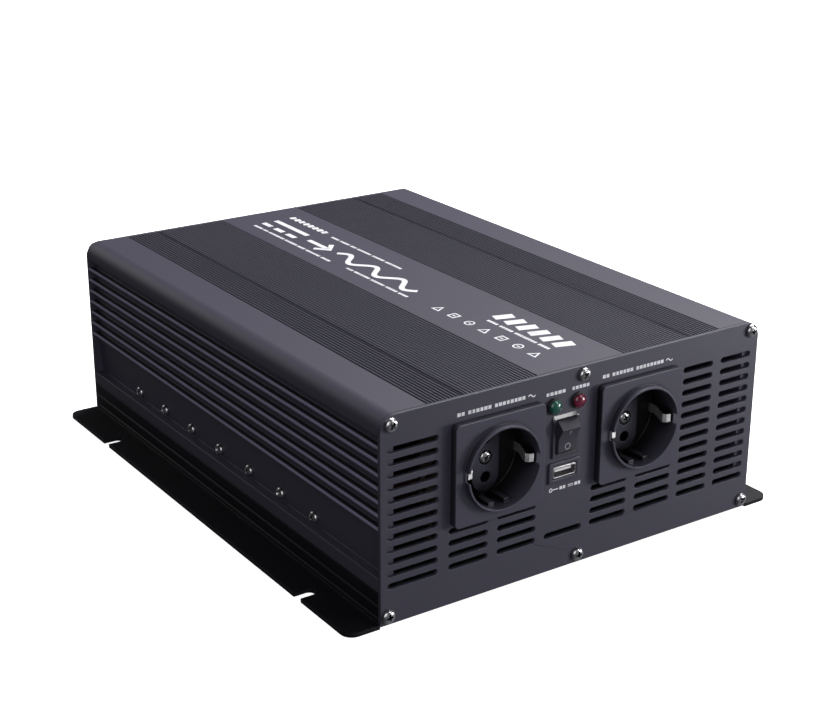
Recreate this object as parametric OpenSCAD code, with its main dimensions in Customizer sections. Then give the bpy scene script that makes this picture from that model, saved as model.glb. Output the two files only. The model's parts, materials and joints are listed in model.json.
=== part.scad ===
// Power inverter in a finned aluminium case: two earthed round outlets, a rocker switch,
// a USB port and two indicator lamps on the front; fans and battery studs on the rear.
// Origin: centre of the underside. +X is to the right seen from the front,
// -Y points at the front panel, +Z is up. Millimetres.

/* [Case] */
// Width of the case without its flanges
case_w = 219; // [212:1:226]
// Length over both end panels
case_l = 300; // [290:1:330]
// Height from the underside to the top
case_h = 100; // [98:1:104]
// Thickness of each end panel
panel_t = 2; // [1.6:0.1:2.5]
// Projection of each mounting flange
flange_w = 17; // [15:0.5:22]
// Thickness of each mounting flange
flange_t = 2.2; // [2:0.1:3]
// Distance of the notches from the case's middle, front then rear
notch_y = [-107, 99];
// Width of a mounting notch
notch_w = 5.8; // [5:0.1:6.5]

/* [Cooling] */
// Depth of the side grooves between the fins
fin_depth = 4.8; // [3.5:0.1:5]
// Distance between two fins
fin_pitch = 6.33; // [6.2:0.01:6.4]
// Height of a side groove
fin_gap = 4.8; // [3.4:0.1:5]
// Number of side grooves
fin_count = 7; // [5:1:7]
// Distance between two fine ribs on the top
rib_pitch = 1.9; // [1.7:0.1:2.4]
// Height of one ventilation slot
slot_h = 2.8; // [2.4:0.1:3.2]
// Distance between two rows of slots
slot_pitch = 5.855; // [5.8:0.005:5.9]

/* [Outlets] */
// Centres of the outlets, left then right
outlet_x = [-48.6, 32.9];
// Height of the outlets' centres
outlet_z = 64; // [63:0.5:66]
// Side of the outlet's square plate
outlet_plate = 49; // [48:0.5:52]
// Radius of the round well that takes the plug
well_r = 19; // [18.8:0.1:19.4]
// Depth of the well
well_depth = 18; // [17:0.5:19]

/* [Controls] */
// Centre line of the lamps, the switch and the USB port
control_x = -9.9; // [-10.5:0.1:-9.3]
// Height of the lamps
lamp_z = 84; // [83.5:0.1:85]
// Distance between the lamps
lamp_gap = 13.9; // [12:0.1:16]
// Height of the switch's centre
rocker_z = 68.6; // [68:0.1:69]
// Height of the USB port's centre
usb_z = 50.9; // [49:0.1:51.5]
// Swing of the rocker from the middle to each side, in degrees
rocker_swing = 14; // [10:1:14]

/* [Rear] */
// Side of a fan's frame
fan_w = 60; // [58:1:62]
// Distance of each fan's centre from the middle
fan_x = 67; // [65:1:68]
// Distance of each battery stud from the middle
stud_x = 19; // [17:0.5:20]
// Radius of a battery stud
stud_r = 4; // [3:0.5:4]

/* [Hidden] */
$fn = 48;

half_w = case_w / 2;
front_y = -case_l / 2;
rear_y = case_l / 2;
shell_l = case_l - 2 * panel_t;
front_in = front_y + panel_t;            // inner face of the front panel
rear_in = rear_y - panel_t;              // inner face of the rear panel
gap = 0.15;                              // air kept between fixed neighbours

// Case sections
corner_r = 8;
floor_t = 2.5;
wall_in = half_w - 8;                    // inner face of the cover's side walls
top_in = case_h - 3.6;                   // underside of the top skin
groove_x = half_w - fin_depth;           // floor of the side grooves
seam_z = 16.8;                           // joint between the tray and the cover
ledge_z = 23.8;                          // lower edge of the screw recess
recess_top = 46.2;                       // upper edge of the screw recess
first_groove = 50.5;                     // centre of the lowest side groove
label_half = 25;                         // half width of the smooth band on the top
line_x = 65.4;                           // dark line between the ribbed bands
band_half = 84.4;                        // outer edge of the ribbed bands
panel_z = 1;                             // lower edge of the end panels

// Screws
screw_r = 1.45;
screw_head_r = 3.3;
screw_head_t = 2.3;
top_screw = [half_w - 5.3, case_h - 4.3];
low_screw = [half_w - 3.7, 5.5];
panel_screws = [
    [-top_screw.x, top_screw.y], [0, top_screw.y], [top_screw.x, top_screw.y],
    [-low_screw.x, low_screw.y], [0, low_screw.y], [low_screw.x, low_screw.y]
];
side_screw_z = 27.5;
side_screw_y = [for (i = [-3:3]) 5 + i * 30.8];

// Slots: left end, right end and first row of each column
slot_rows = 12;
slot_top = 84;
slot_columns = [
    [-105.8, -79.6, 0], [-73.6, -52.3, 8], [-46.9, -25.3, 8], [-19.8, 1.9, 11],
    [7, 28.7, 8], [34.2, 56.3, 8], [61.5, 80.3, 0], [85.5, 104.8, 0]
];

// Outlet: the collar stands in front of the plate, the cup behind the panel
plate_t = 4;
collar_h = 3.5;
collar_t = 1.1;
cup_r = well_r + 2;
plate_y = front_y - plate_t;
rim_y = plate_y - collar_h;
well_floor = rim_y + well_depth;
cup_back = well_floor + 2.6;
island_y = well_floor - 3;
pin_gap = 19;
pin_hole_r = 2.6;
clip_w = 4;

// Lamps: their domes stand just in front of their holders
lamp_y = front_y - 1.25;

// Switch: the rocker turns about an axis along X
pivot_y = front_y + 1.5;
bezel_y = front_y - 2.4;
rocker_r = 8.3;
rocker_w = 10.8;
rocker_pin_r = 1.2;
switch_in_x = rocker_w / 2 + 0.35;
switch_in_z = rocker_r + 0.2;
switch_out_x = switch_in_x + 1;
switch_out_z = switch_in_z + 0.95;
switch_back = front_y + 15;

// Board and what stands on it
board_z = 10;
board_t = 1.6;
board_top = board_z + board_t;
board_w = 192;
board_y = [-140, 112];
standoff_xy = [for (x = [-88, 88], y = [-132, -14, 104]) [x, y]];
spigot_r = 2.2;                          // pressed into the tray's floor
transformer_xy = [for (y = [-60, -12, 36]) [-22, y]];
bulk_xy = [[38, -88], [38, -50]];
input_xy = [for (i = [0:3], x = [30, 48]) [x, 12 + i * 18]];
fuse_xy = [for (i = [0:5]) [-8 + i * 9, 87]];

// Transistors: one behind each side screw
pad_t = 0.3;
pad_x = wall_in - gap;
transistor_x = pad_x - pad_t - gap;
clamp_x = transistor_x - 4.6 - gap;

// Rear
fan_z = 56;
fan_t = 20;
fan_bore = fan_w / 2 - 1.8;
fan_screw = fan_w / 2 - 5;
fan_front = rear_in - fan_t - gap;
shaft_r = 1.5;
stud_z = 56;
stud_end = rear_y + 30;
base_r = 10;
nut_y = rear_y + 12.4;
ground_x = 0;
ground_z = 24;
ground_r = 2.5;
stud_step = 0.3;                         // the studs are this much thinner up to their nuts
stud_free = nut_y + 6.7;
ground_free = rear_y + 5.5;

// Routes of the inner leads, from the board to an outlet's contacts and earth strap
tab_end = cup_back + 18.5;
function contact_route(x, z, start) = [
    [start, -111, 12.2], [start, -110.5, 22], [start, -108.5, (z + 20) / 2],
    [0.6 * x + 0.4 * start, -109, z - 5], [x, -112, z + 1], [x, tab_end, z + 3]
];
function earth_route(x, start) = [
    [start, -111, 12.2], [start, -110.5, 24], [start, -109, 42], [x + 15, -114, 60],
    [x + 11, -124, 65], [x + 10, cup_back + 1.6, 65]
];
fan_route = [[70, 112, 12.2], [70, 119, 16], [69, 123, 22], [67, 126.5, 28]];

// ---------- shared shapes ----------

// Lay a shape drawn in X and Z flat against the plane at y, growing towards +Y by t
module stand(y, t) {
    translate([0, y + t, 0]) rotate([90, 0, 0]) linear_extrude(height = t) children();
}

// Cylinder along +Y that starts at y
module rod_y(x, y, z, r, l) {
    translate([x, y + l, z]) rotate([90, 0, 0]) cylinder(r = r, h = l);
}

// Cylinder along +X that starts at x
module rod_x(x, y, z, r, l) {
    translate([x, y, z]) rotate([0, 90, 0]) cylinder(r = r, h = l);
}

module on_right() { mirror([1, 0, 0]) children(); }

module both_sides() {
    children();
    mirror([1, 0, 0]) children();
}

module rounded_rect(w, h, r) {
    square([w, h - 2 * r], center = true);
    square([w - 2 * r, h], center = true);
    for (x = [-1, 1], z = [-1, 1]) translate([x * (w / 2 - r), z * (h / 2 - r)]) circle(r = r);
}

// Outline of the case's end, from z0 up, with round top corners
module end_outline(z0) {
    translate([-half_w, z0]) square([case_w, case_h - corner_r - z0]);
    translate([corner_r - half_w, case_h - corner_r - 1]) square([case_w - 2 * corner_r, corner_r + 1]);
    for (s = [-1, 1]) translate([s * (half_w - corner_r), case_h - corner_r]) circle(r = corner_r);
}

module slot(x0, x1, z) {
    r = slot_h / 2;
    translate([x0 + r, z - r]) square([x1 - x0 - slot_h, slot_h]);
    for (x = [x0 + r, x1 - r]) translate([x, z]) circle(r = r);
}

// Pan-head screw whose head sits on the plane at y = 0 and points at -Y
module pan_screw(l, r = screw_r, head_r = screw_head_r, head_t = screw_head_t) {
    difference() {
        union() {
            rod_y(0, 0, 0, r, l);
            rod_y(0, -head_t * 0.55, 0, head_r, head_t * 0.55);
            rod_y(0, -head_t, 0, head_r * 0.72, head_t);
        }
        for (a = [0, 90])
            rotate([0, a, 0]) translate([-head_r * 0.5, -head_t - 1, -0.4]) cube([head_r, 1.9, 0.8]);
    }
}

// Round lead along a route, as rings of eight points square to the way it runs
function unit(v) = v / norm(v);
function bend(p, i, n) = unit(p[min(i + 1, n - 1)] - p[max(i - 1, 0)]);
function curve_point(a, b, c, d, t) =
    0.5 * (2 * b + (c - a) * t + (2 * a - 5 * b + 4 * c - d) * t * t + (3 * b - a - 3 * c + d) * t * t * t);
function smooth_route(p, steps) = [
    for (i = [0:len(p) - 2], k = [0:steps - 1])
        curve_point(p[max(i - 1, 0)], p[i], p[i + 1], p[min(i + 2, len(p) - 1)], k / steps),
    p[len(p) - 1]
];
module lead(route, r, sides = 8) {
    path = smooth_route(route, 4);
    n = len(path);
    points = [
        for (i = [0:n - 1])
            let (
                t = bend(path, i, n),
                side = unit(cross(t, abs(t.x) > 0.9 ? [0, 1, 0] : [1, 0, 0])),
                up = cross(side, t)
            )
            for (k = [0:sides - 1])
                path[i] + r * (cos(360 * k / sides) * side + sin(360 * k / sides) * up)
    ];
    faces = [
        [for (k = [0:sides - 1]) k],
        [for (k = [sides - 1:-1:0]) (n - 1) * sides + k],
        for (i = [0:n - 2], k = [0:sides - 1])
            [i * sides + k, (i + 1) * sides + k, (i + 1) * sides + (k + 1) % sides, i * sides + (k + 1) % sides]
    ];
    polyhedron(points = points, faces = faces);
}

// ---------- case ----------

module cover_section() {
    difference() {
        union() {
            difference() {
                end_outline(seam_z + 0.2);
                // inner space, with a wider mouth at the bottom for the tray's tongues
                translate([-wall_in, 24]) square([2 * wall_in, top_in - 24]);
                translate([3.2 - half_w, 0]) square([case_w - 6.4, 20.8]);
                translate([6.5 - half_w, 0]) square([case_w - 13, 24.1]);
                for (s = [-1, 1]) {
                    // recess for the side screws
                    translate([s * half_w, (ledge_z + recess_top) / 2])
                        square([2 * fin_depth, recess_top - ledge_z], center = true);
                    // grooves between the fins
                    for (i = [0:fin_count - 1])
                        translate([s * half_w, first_groove + i * fin_pitch])
                            square([2 * fin_depth, fin_gap], center = true);
                }
            }
            // channels that take the panel screws
            intersection() {
                end_outline(seam_z + 0.2);
                for (x = [-top_screw.x + 1.5, 0, top_screw.x - 1.5])
                    translate([x, top_screw.y - 0.4]) square([8.4, 7], center = true);
            }
        }
        // fine ribs and dark lines on the top
        for (s = [-1, 1]) {
            for (x = [label_half + 0.5:rib_pitch:line_x - 1.6])
                translate([s * x, case_h]) square([rib_pitch * 0.5, 1.2], center = true);
            for (x = [line_x + 1.6:rib_pitch:band_half - 0.3])
                translate([s * x, case_h]) square([rib_pitch * 0.5, 2], center = true);
            translate([s * line_x, case_h]) square([1.3, 3], center = true);
        }
    }
}

module top_cover() {
    color([0.2, 0.2, 0.22]) difference() {
        rotate([90, 0, 0]) linear_extrude(height = shell_l, center = true) cover_section();
        for (s = [-1, 1], y = side_screw_y)
            rod_x(s * (half_w - 5) - 5, y, side_screw_z, screw_r + 0.2, 10);
        for (p = panel_screws)
            if (p.y > seam_z)
                for (y = [front_in - 1, rear_in - 11]) rod_y(p.x, y, p.y, screw_r + 0.08, 12);
    }
}

module tray_section() {
    difference() {
        union() {
            translate([-half_w, 0]) square([case_w, floor_t]);
            translate([-half_w - flange_w, 0]) square([case_w + 2 * flange_w, flange_t]);
            for (s = [-1, 1]) {
                // side wall, its tongue and the channel for the corner screw
                translate([s * (half_w - 1.5), seam_z / 2]) square([3, seam_z], center = true);
                translate([s * (half_w - 4.8), 10.1]) square([2.9, 20.2], center = true);
                translate([s * (half_w - 5), 5]) square([8, 9.8], center = true);
            }
            translate([0, 5]) square([8.4, 9.2], center = true);
        }
        // fine lines along the outside of the walls
        for (s = [-1, 1], z = [4.6, 10.6])
            translate([s * half_w, z]) rotate(45) square(1.3, center = true);
    }
}

module tray_notch(y) {
    translate([half_w + flange_w - 6.3, y, -1]) cylinder(r = notch_w / 2, h = flange_t + 2);
    translate([half_w + flange_w - 6.3, y - notch_w / 2, -1]) cube([10, notch_w, flange_t + 2]);
}

module base_tray() {
    round_r = 6;
    color([0.17, 0.17, 0.19]) difference() {
        union() {
            rotate([90, 0, 0]) linear_extrude(height = shell_l, center = true) tray_section();
            // the flanges run on beside the end panels
            both_sides() translate([half_w + 0.1, front_y, 0]) cube([flange_w - 0.1, case_l, flange_t]);
        }
        both_sides() {
            for (y = notch_y) tray_notch(y);
            // round the flange's outer corners
            for (s = [-1, 1])
                translate([half_w + flange_w - round_r, s * (rear_y - round_r), -1])
                    difference() {
                        translate([0, min(0, s * (round_r + 1)), 0]) cube([round_r + 1, round_r + 1, flange_t + 2]);
                        translate([0, 0, -1]) cylinder(r = round_r, h = flange_t + 4);
                    }
        }
        for (p = panel_screws)
            if (p.y < seam_z)
                for (y = [front_in - 1, rear_in - 11]) rod_y(p.x, y, p.y, screw_r + 0.08, 12);
        for (p = standoff_xy) translate([p.x, p.y, -1]) cylinder(r = spigot_r + 0.03, h = 6);
    }
}

module panel_blank() {
    difference() {
        end_outline(panel_z);
        for (p = panel_screws) translate([p.x, p.y]) circle(r = screw_r + 0.3);
    }
}

module front_panel() {
    color([0.16, 0.16, 0.18]) stand(front_y, panel_t) difference() {
        panel_blank();
        for (c = slot_columns, row = [c[2]:slot_rows - 1]) slot(c[0], c[1], slot_top - row * slot_pitch);
        for (x = outlet_x) translate([x, outlet_z]) circle(r = cup_r + 0.25);
        for (s = [-1, 1]) translate([control_x + s * lamp_gap / 2, lamp_z]) circle(r = 3.15);
        translate([control_x, rocker_z]) square([2 * switch_out_x + 0.3, 2 * switch_out_z + 0.3], center = true);
        translate([control_x, usb_z]) square([15.3, 7.9], center = true);
    }
}

module rear_panel() {
    color([0.16, 0.16, 0.18]) stand(rear_in, panel_t) difference() {
        panel_blank();
        for (s = [-1, 1]) {
            translate([s * fan_x, fan_z]) circle(r = fan_bore);
            for (i = [-1, 1], j = [-1, 1])
                translate([s * fan_x + i * fan_screw, fan_z + j * fan_screw]) circle(r = screw_r + 0.3);
            translate([s * stud_x, stud_z]) circle(r = 6.25);
        }
        translate([ground_x, ground_z]) circle(r = ground_r + 0.1);
        for (i = [0:2]) slot(-26, 26, 78 + i * slot_pitch);
    }
}

module panel_screw_set(s) {
    for (p = panel_screws) translate([p.x, s * rear_y, p.y]) rotate([0, 0, s > 0 ? 180 : 0]) pan_screw(11);
}

module front_panel_screws() { color("silver") panel_screw_set(-1); }

module rear_panel_screws() { color("silver") panel_screw_set(1); }

module side_screws(s) {
    for (y = side_screw_y)
        translate([s * groove_x, y, side_screw_z]) rotate([0, 0, s > 0 ? 90 : -90]) pan_screw(13.5, head_r = 3);
}

module side_screws_left() { color("silver") side_screws(-1); }

module side_screws_right() { color("silver") side_screws(1); }

// ---------- outlets ----------

module guide_rib(x) {
    translate([x - 1.7, 0, well_r - 2.3]) cube([3.4, well_floor - plate_y + 2, 3]);
}

module outlet_housing(x) {
    translate([x, 0, outlet_z]) color([0.12, 0.12, 0.13]) difference() {
        union() {
            stand(plate_y, plate_t) difference() {
                rounded_rect(outlet_plate, outlet_plate, 2.5);
                circle(r = well_r);
            }
            // collar around the mouth and cup behind it
            stand(rim_y, collar_h + 0.01) difference() {
                circle(r = well_r + collar_t);
                circle(r = well_r);
            }
            stand(front_y - 0.01, cup_back - front_y + 0.01) difference() {
                circle(r = cup_r);
                circle(r = well_r);
            }
            stand(well_floor, cup_back - well_floor) circle(r = well_r + 0.5);
            // raised island that carries the pin holes
            stand(island_y, cup_back - island_y) {
                square([15, 18], center = true);
                for (z = [-9, 9]) translate([0, z]) circle(r = 7.5);
            }
            // pairs of ribs that guide the plug
            intersection() {
                for (a = [0, 180], s = [-1, 1])
                    rotate([0, a, 0]) translate([0, plate_y + 1, 0]) guide_rib(s * 4.4);
                stand(plate_y, cup_back - plate_y) circle(r = well_r + 0.5);
            }
            // pads that carry the contacts
            for (z = [-1, 1]) translate([-6, cup_back - 0.01, z * pin_gap / 2 - 4]) cube([12, 4, 8]);
        }
        for (z = [-1, 1]) rod_y(0, island_y - 1, z * pin_gap / 2, pin_hole_r, 30);
        rod_y(0, island_y - 1, 0, 3.4, 2.2);
        rod_y(0, island_y - 1, 0, 1.75, 20);
        // notches and slots for the earth clips
        for (s = [-1, 1]) {
            translate([s * (well_r + 0.6) - 1.6, rim_y - 1, -2.5]) cube([3.2, collar_h + 0.2, 5]);
            translate([s * (well_r - 0.15) - 0.95, well_floor - 8, -clip_w / 2 - gap])
                cube([1.9, 30, clip_w + 2 * gap]);
        }
    }
}

module left_outlet_housing() { outlet_housing(outlet_x[0]); }

module right_outlet_housing() { outlet_housing(outlet_x[1]); }

// Two sprung fingers joined by a strap behind the cup
module earth_clips(x) {
    // root, slope towards the plug, nose by the mouth and lip turned back to the wall
    finger = [
        [0, 0], [0.8, 0], [0.8, 3.5], [-2.4, 11], [-3.1, 12.8], [-2.4, 13.9], [-0.4, 14.3],
        [-0.4, 15.1], [-2.8, 14.7], [-4, 13.2], [-3.3, 10.6], [0, 3.2]
    ];
    translate([x, 0, outlet_z]) color("silver") {
        for (s = [0, 1]) mirror([s, 0, 0])
            translate([well_r - 0.6, well_floor + 0.4, -clip_w / 2])
                linear_extrude(height = clip_w) mirror([0, 1]) polygon(finger);
        for (s = [-1, 1])
            translate([s * (well_r - 0.2) - 0.4, well_floor, -clip_w / 2]) cube([0.8, cup_back - well_floor + 1.2, clip_w]);
        difference() {
            translate([0.2 - well_r, cup_back + 0.2, -clip_w / 2]) cube([2 * well_r - 0.4, 1, clip_w]);
            rod_y(0, cup_back, 0, 1.6, 2);
        }
    }
}

module left_earth_clips() { earth_clips(outlet_x[0]); }

module right_earth_clips() { earth_clips(outlet_x[1]); }

// Brass sleeves behind the pin holes
module outlet_contacts(x) {
    for (z = [-1, 1]) translate([x, 0, outlet_z + z * pin_gap / 2]) color([0.8, 0.62, 0.28]) {
        difference() {
            rod_y(0, cup_back + 4 + gap, 0, 3.8, 9);
            rod_y(0, cup_back + 2, 0, 3, 14);
        }
        translate([-2, cup_back + 13, 3.05]) cube([4, 5.2, 0.7]);
    }
}

module left_outlet_contacts() { outlet_contacts(outlet_x[0]); }

module right_outlet_contacts() { outlet_contacts(outlet_x[1]); }

module outlet_centre_screws() {
    color("silver") for (x = outlet_x)
        translate([x, island_y + 1.2, outlet_z]) pan_screw(9, r = 1.55, head_r = 3.1, head_t = 1.9);
}

// ---------- controls ----------

module lamp_holders() {
    color([0.08, 0.08, 0.08]) for (s = [-1, 1])
        translate([control_x + s * lamp_gap / 2, 0, lamp_z]) difference() {
            union() {
                rod_y(0, front_y - 1.2, 0, 3.9, 1.2);
                rod_y(0, front_y - 0.5, 0, 3, 8);
            }
            rod_y(0, front_y - 3, 0, 2.6, 12);
        }
}

module lamp(s) {
    translate([control_x + s * lamp_gap / 2, 0, lamp_z]) {
        rod_y(0, front_y - 1.6, 0, 2.5, 8);
        rod_y(0, lamp_y - 0.7, 0, 3.3, 0.7);
        intersection() {
            translate([0, lamp_y + 0.9, 0]) sphere(r = 3.9);
            rod_y(0, lamp_y - 4, 0, 3.3, 3.4);
        }
        for (x = [-1.27, 1.27]) rod_y(x, front_y + 6, 0, 0.3, 6);
    }
}

module power_lamp() { color([0.1, 0.6, 0.4]) lamp(-1); }

module fault_lamp() { color([0.7, 0.05, 0.15]) lamp(1); }

module switch_bezel() {
    depth = switch_back - front_y;
    translate([control_x, 0, rocker_z]) color([0.08, 0.08, 0.08]) difference() {
        union() {
            stand(bezel_y, front_y - bezel_y) rounded_rect(15, 20.8, 0.8);
            stand(front_y - 0.01, depth) square([2 * switch_out_x, 2 * switch_out_z], center = true);
        }
        stand(bezel_y - 1, depth) square([2 * switch_in_x, 2 * switch_in_z], center = true);
        rod_x(-switch_out_x + 0.4, pivot_y, 0, rocker_pin_r + 0.06, 2 * switch_out_x - 0.8);
        for (z = [-4.5, 0, 4.5]) translate([-2.5, switch_back - 3, z - 0.5]) cube([5, 6, 1]);
    }
}

// Side view of the rocker midway: two faces in a shallow V, ends round about the pivot.
// Drawn with the first axis out of the panel and the second axis up.
module rocker_section() {
    rise = tan(rocker_swing) * rocker_r;
    intersection() {
        circle(r = rocker_r);
        polygon([[-3.4, -9], [4 + rise, -rocker_r], [4, 0], [4 + rise, rocker_r], [-3.4, 9]]);
    }
}

module power_rocker() {
    translate([control_x, pivot_y, rocker_z]) color([0.1, 0.1, 0.1]) {
        rotate([rocker_swing, 0, 0])
            translate([-rocker_w / 2, 0, 0]) rotate([0, 0, 90]) rotate([90, 0, 0])
                linear_extrude(height = rocker_w) mirror([1, 0]) rocker_section();
        rod_x(-rocker_w / 2 - 0.9, 0, 0, rocker_pin_r, rocker_w + 1.8);
    }
}

module switch_terminals() {
    color([0.8, 0.62, 0.28]) for (z = [-4.5, 0, 4.5])
        translate([control_x - 2.4, switch_back - 2.8, rocker_z + z - 0.4]) cube([4.8, 10, 0.8]);
}

module usb_bezel() {
    translate([control_x, 0, usb_z]) color([0.08, 0.08, 0.08]) difference() {
        union() {
            stand(front_y - 1, 1) rounded_rect(18, 10.5, 0.8);
            stand(front_y - 0.01, 6) square([15, 7.6], center = true);
        }
        stand(front_y - 2, 10) square([13.5, 6.1], center = true);
    }
}

module usb_shell() {
    translate([control_x, 0, usb_z]) color("silver") difference() {
        stand(front_y - 0.6, 14) square([13.2, 5.8], center = true);
        stand(front_y - 1, 13.4) square([12.5, 5.1], center = true);
    }
}

module usb_tongue() {
    translate([control_x, 0, usb_z]) color("white") {
        translate([-5.6, front_y + 0.6, 0.1]) cube([11.2, 9, 1.9]);
        translate([-6, front_y + 9.4, -2.3]) cube([12, 3, 4.4]);
    }
}

module usb_board() {
    color([0.05, 0.3, 0.15]) translate([control_x - 11, front_y + 6.6, usb_z - 4.7]) cube([22, 24, 1.6]);
}

// ---------- board ----------

module main_board() {
    color([0.05, 0.3, 0.15]) difference() {
        translate([-board_w / 2, board_y[0], board_z]) cube([board_w, board_y[1] - board_y[0], board_t]);
        for (p = standoff_xy) translate([p.x, p.y, board_z - 1]) cylinder(r = 1.7, h = 4);
    }
}

module board_standoffs() {
    color("silver") for (p = standoff_xy) translate([p.x, p.y, floor_t]) difference() {
        union() {
            cylinder(r = 3.4, h = board_z - floor_t, $fn = 6);
            translate([0, 0, 0.3 - floor_t]) cylinder(r = spigot_r, h = 3);
        }
        translate([0, 0, 0.7]) cylinder(r = 1.5, h = 20);
    }
}

module board_screws() {
    color("silver") for (p = standoff_xy)
        translate([p.x, p.y, board_top]) rotate([-90, 0, 0]) pan_screw(6, r = 1.4, head_r = 2.8, head_t = 1.9);
}

module control_board() {
    color([0.05, 0.3, 0.15]) translate([66, -60, board_top + gap]) cube([1.6, 70, 34]);
    color([0.1, 0.1, 0.1]) for (y = [-50, -28, -6]) translate([67.6, y, board_top + 12]) cube([2.4, 10, 14]);
}

module transformer_cores() {
    color([0.25, 0.25, 0.27]) for (p = transformer_xy) translate([p.x, p.y, board_top + 3]) difference() {
        translate([-27.5, -10.5, 0]) cube([55, 21, 55]);
        for (s = [-1, 1]) translate([s * 14.25 - 4.75, -12, 9]) cube([9.5, 24, 37]);
    }
}

module transformer_windings() {
    color([0.85, 0.7, 0.25]) for (p = transformer_xy) translate([p.x, p.y, board_top + 12.4]) difference() {
        translate([-18.6, -19, 0]) cube([37.2, 38, 36.2]);
        translate([-9.8, -10.8, -1]) cube([19.6, 21.6, 40]);
        for (s = [-1, 1]) translate([s * 28.8 - 9.9, -10.8, -1]) cube([19.8, 21.6, 40]);
    }
    color([0.1, 0.1, 0.1]) for (p = transformer_xy, s = [-1, 1])
        translate([p.x - 18, p.y + s * 15 - 3, board_top + gap]) cube([36, 6, 11.8]);
}

module output_choke() {
    color([0.75, 0.4, 0.2]) translate([-74, -80, board_top + 22.5]) rotate([0, 90, 0]) difference() {
        cylinder(r = 21, h = 18);
        translate([0, 0, -1]) cylinder(r = 8, h = 20);
    }
    color([0.1, 0.1, 0.1]) translate([-75, -92, board_top + gap]) cube([20, 24, 3]);
}

module bulk_capacitors() {
    color([0.1, 0.12, 0.3]) for (p = bulk_xy) translate([p.x, p.y, board_top + gap]) cylinder(r = 17, h = 48);
}

module input_capacitors() {
    color([0.1, 0.12, 0.3]) for (p = input_xy) translate([p.x, p.y, board_top + gap]) cylinder(r = 8, h = 32);
}

module fuse_sockets() {
    color([0.1, 0.1, 0.1]) for (p = fuse_xy) translate([p.x, p.y, board_top + gap]) difference() {
        translate([-3.6, -11, 0]) cube([7.2, 22, 9]);
        translate([-2.7, -10, 3]) cube([5.4, 20, 10]);
    }
}

module blade_fuses() {
    color([0.2, 0.5, 0.25]) for (p = fuse_xy) translate([p.x, p.y, board_top + gap]) {
        translate([-2.4, -9.6, 7]) cube([4.8, 19.2, 9.5]);
        for (s = [-1, 1]) translate([-0.4, s * 6.5 - 2.6, 3.2]) cube([0.8, 5.2, 4]);
    }
}

module buzzer() {
    color([0.08, 0.08, 0.08]) translate([78, -100, board_top + gap]) difference() {
        cylinder(r = 6, h = 9.5);
        translate([0, 0, 5]) cylinder(r = 1, h = 6);
    }
}

// One transistor behind each side screw: a flat case against the wall, three legs in the board
module transistors(s) {
    color([0.12, 0.12, 0.12]) for (y = side_screw_y) {
        for (d = [-8.4, 8.4]) {
            translate([s * (transistor_x - 2.3) - 2.3, y + d - 5, 19.5]) cube([4.6, 10, 15]);
            for (k = [-2.54, 0, 2.54])
                translate([s * (transistor_x - 2.3) - 0.4, y + d + k - 0.4, board_top + gap]) cube([0.8, 0.8, 9]);
        }
    }
}

module left_transistors() { transistors(-1); }

module right_transistors() { transistors(1); }

module insulating_pad(s) {
    color([0.75, 0.8, 0.85]) difference() {
        translate([s * (pad_x - pad_t / 2) - pad_t / 2, side_screw_y[0] - 16, 25]) cube([pad_t, 216.8, 18]);
        for (y = side_screw_y) rod_x(s * pad_x - 2, y, side_screw_z, screw_r + 0.3, 4);
    }
}

module left_insulating_pad() { insulating_pad(-1); }

module right_insulating_pad() { insulating_pad(1); }

module clamp_bar(s) {
    color("silver") difference() {
        translate([s * (clamp_x - 1.5) - 1.5, side_screw_y[0] - 16, 20.5]) cube([3, 216.8, 13]);
        for (y = side_screw_y) rod_x(s * (clamp_x - 1.5) - 3, y, side_screw_z, screw_r + 0.08, 6);
    }
}

module left_clamp_bar() { clamp_bar(-1); }

module right_clamp_bar() { clamp_bar(1); }

// ---------- rear ----------

module fan_frame(s) {
    translate([s * fan_x, fan_front, fan_z]) color([0.08, 0.08, 0.08]) {
        difference() {
            stand(0, fan_t) rounded_rect(fan_w, fan_w, 4);
            rod_y(0, -1, 0, fan_bore, fan_t + 2);
            for (i = [-1, 1], j = [-1, 1]) rod_y(i * fan_screw, -1, j * fan_screw, screw_r + 0.3, fan_t + 2);
        }
        // hub on four struts, with the shaft that the rotor turns on
        stand(0, 3) {
            difference() {
                for (a = [45, 135]) rotate(a) square([2 * fan_bore + 2, 4], center = true);
                circle(r = 11);
            }
            circle(r = 12);
        }
        rod_y(0, 0, 0, shaft_r, 15);
    }
}

module left_fan_frame() { fan_frame(-1); }

module right_fan_frame() { fan_frame(1); }

module fan_blade() {
    intersection() {
        translate([11.5, 11, 0]) rotate([38, 0, 0]) translate([0, -8.5, -0.7]) cube([20, 17, 1.4]);
        rod_y(0, 3.8, 0, fan_bore - 1, 14.6);
    }
}

module fan_rotor(s) {
    translate([s * fan_x, fan_front, fan_z]) color([0.1, 0.1, 0.1]) difference() {
        union() {
            rod_y(0, 3.8, 0, 12.4, 14.6);
            for (i = [0:6]) rotate([0, i * 360 / 7, 0]) fan_blade();
        }
        rod_y(0, 3, 0, shaft_r + 0.05, 12.6);
    }
}

module left_fan_rotor() { fan_rotor(-1); }

module right_fan_rotor() { fan_rotor(1); }

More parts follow.
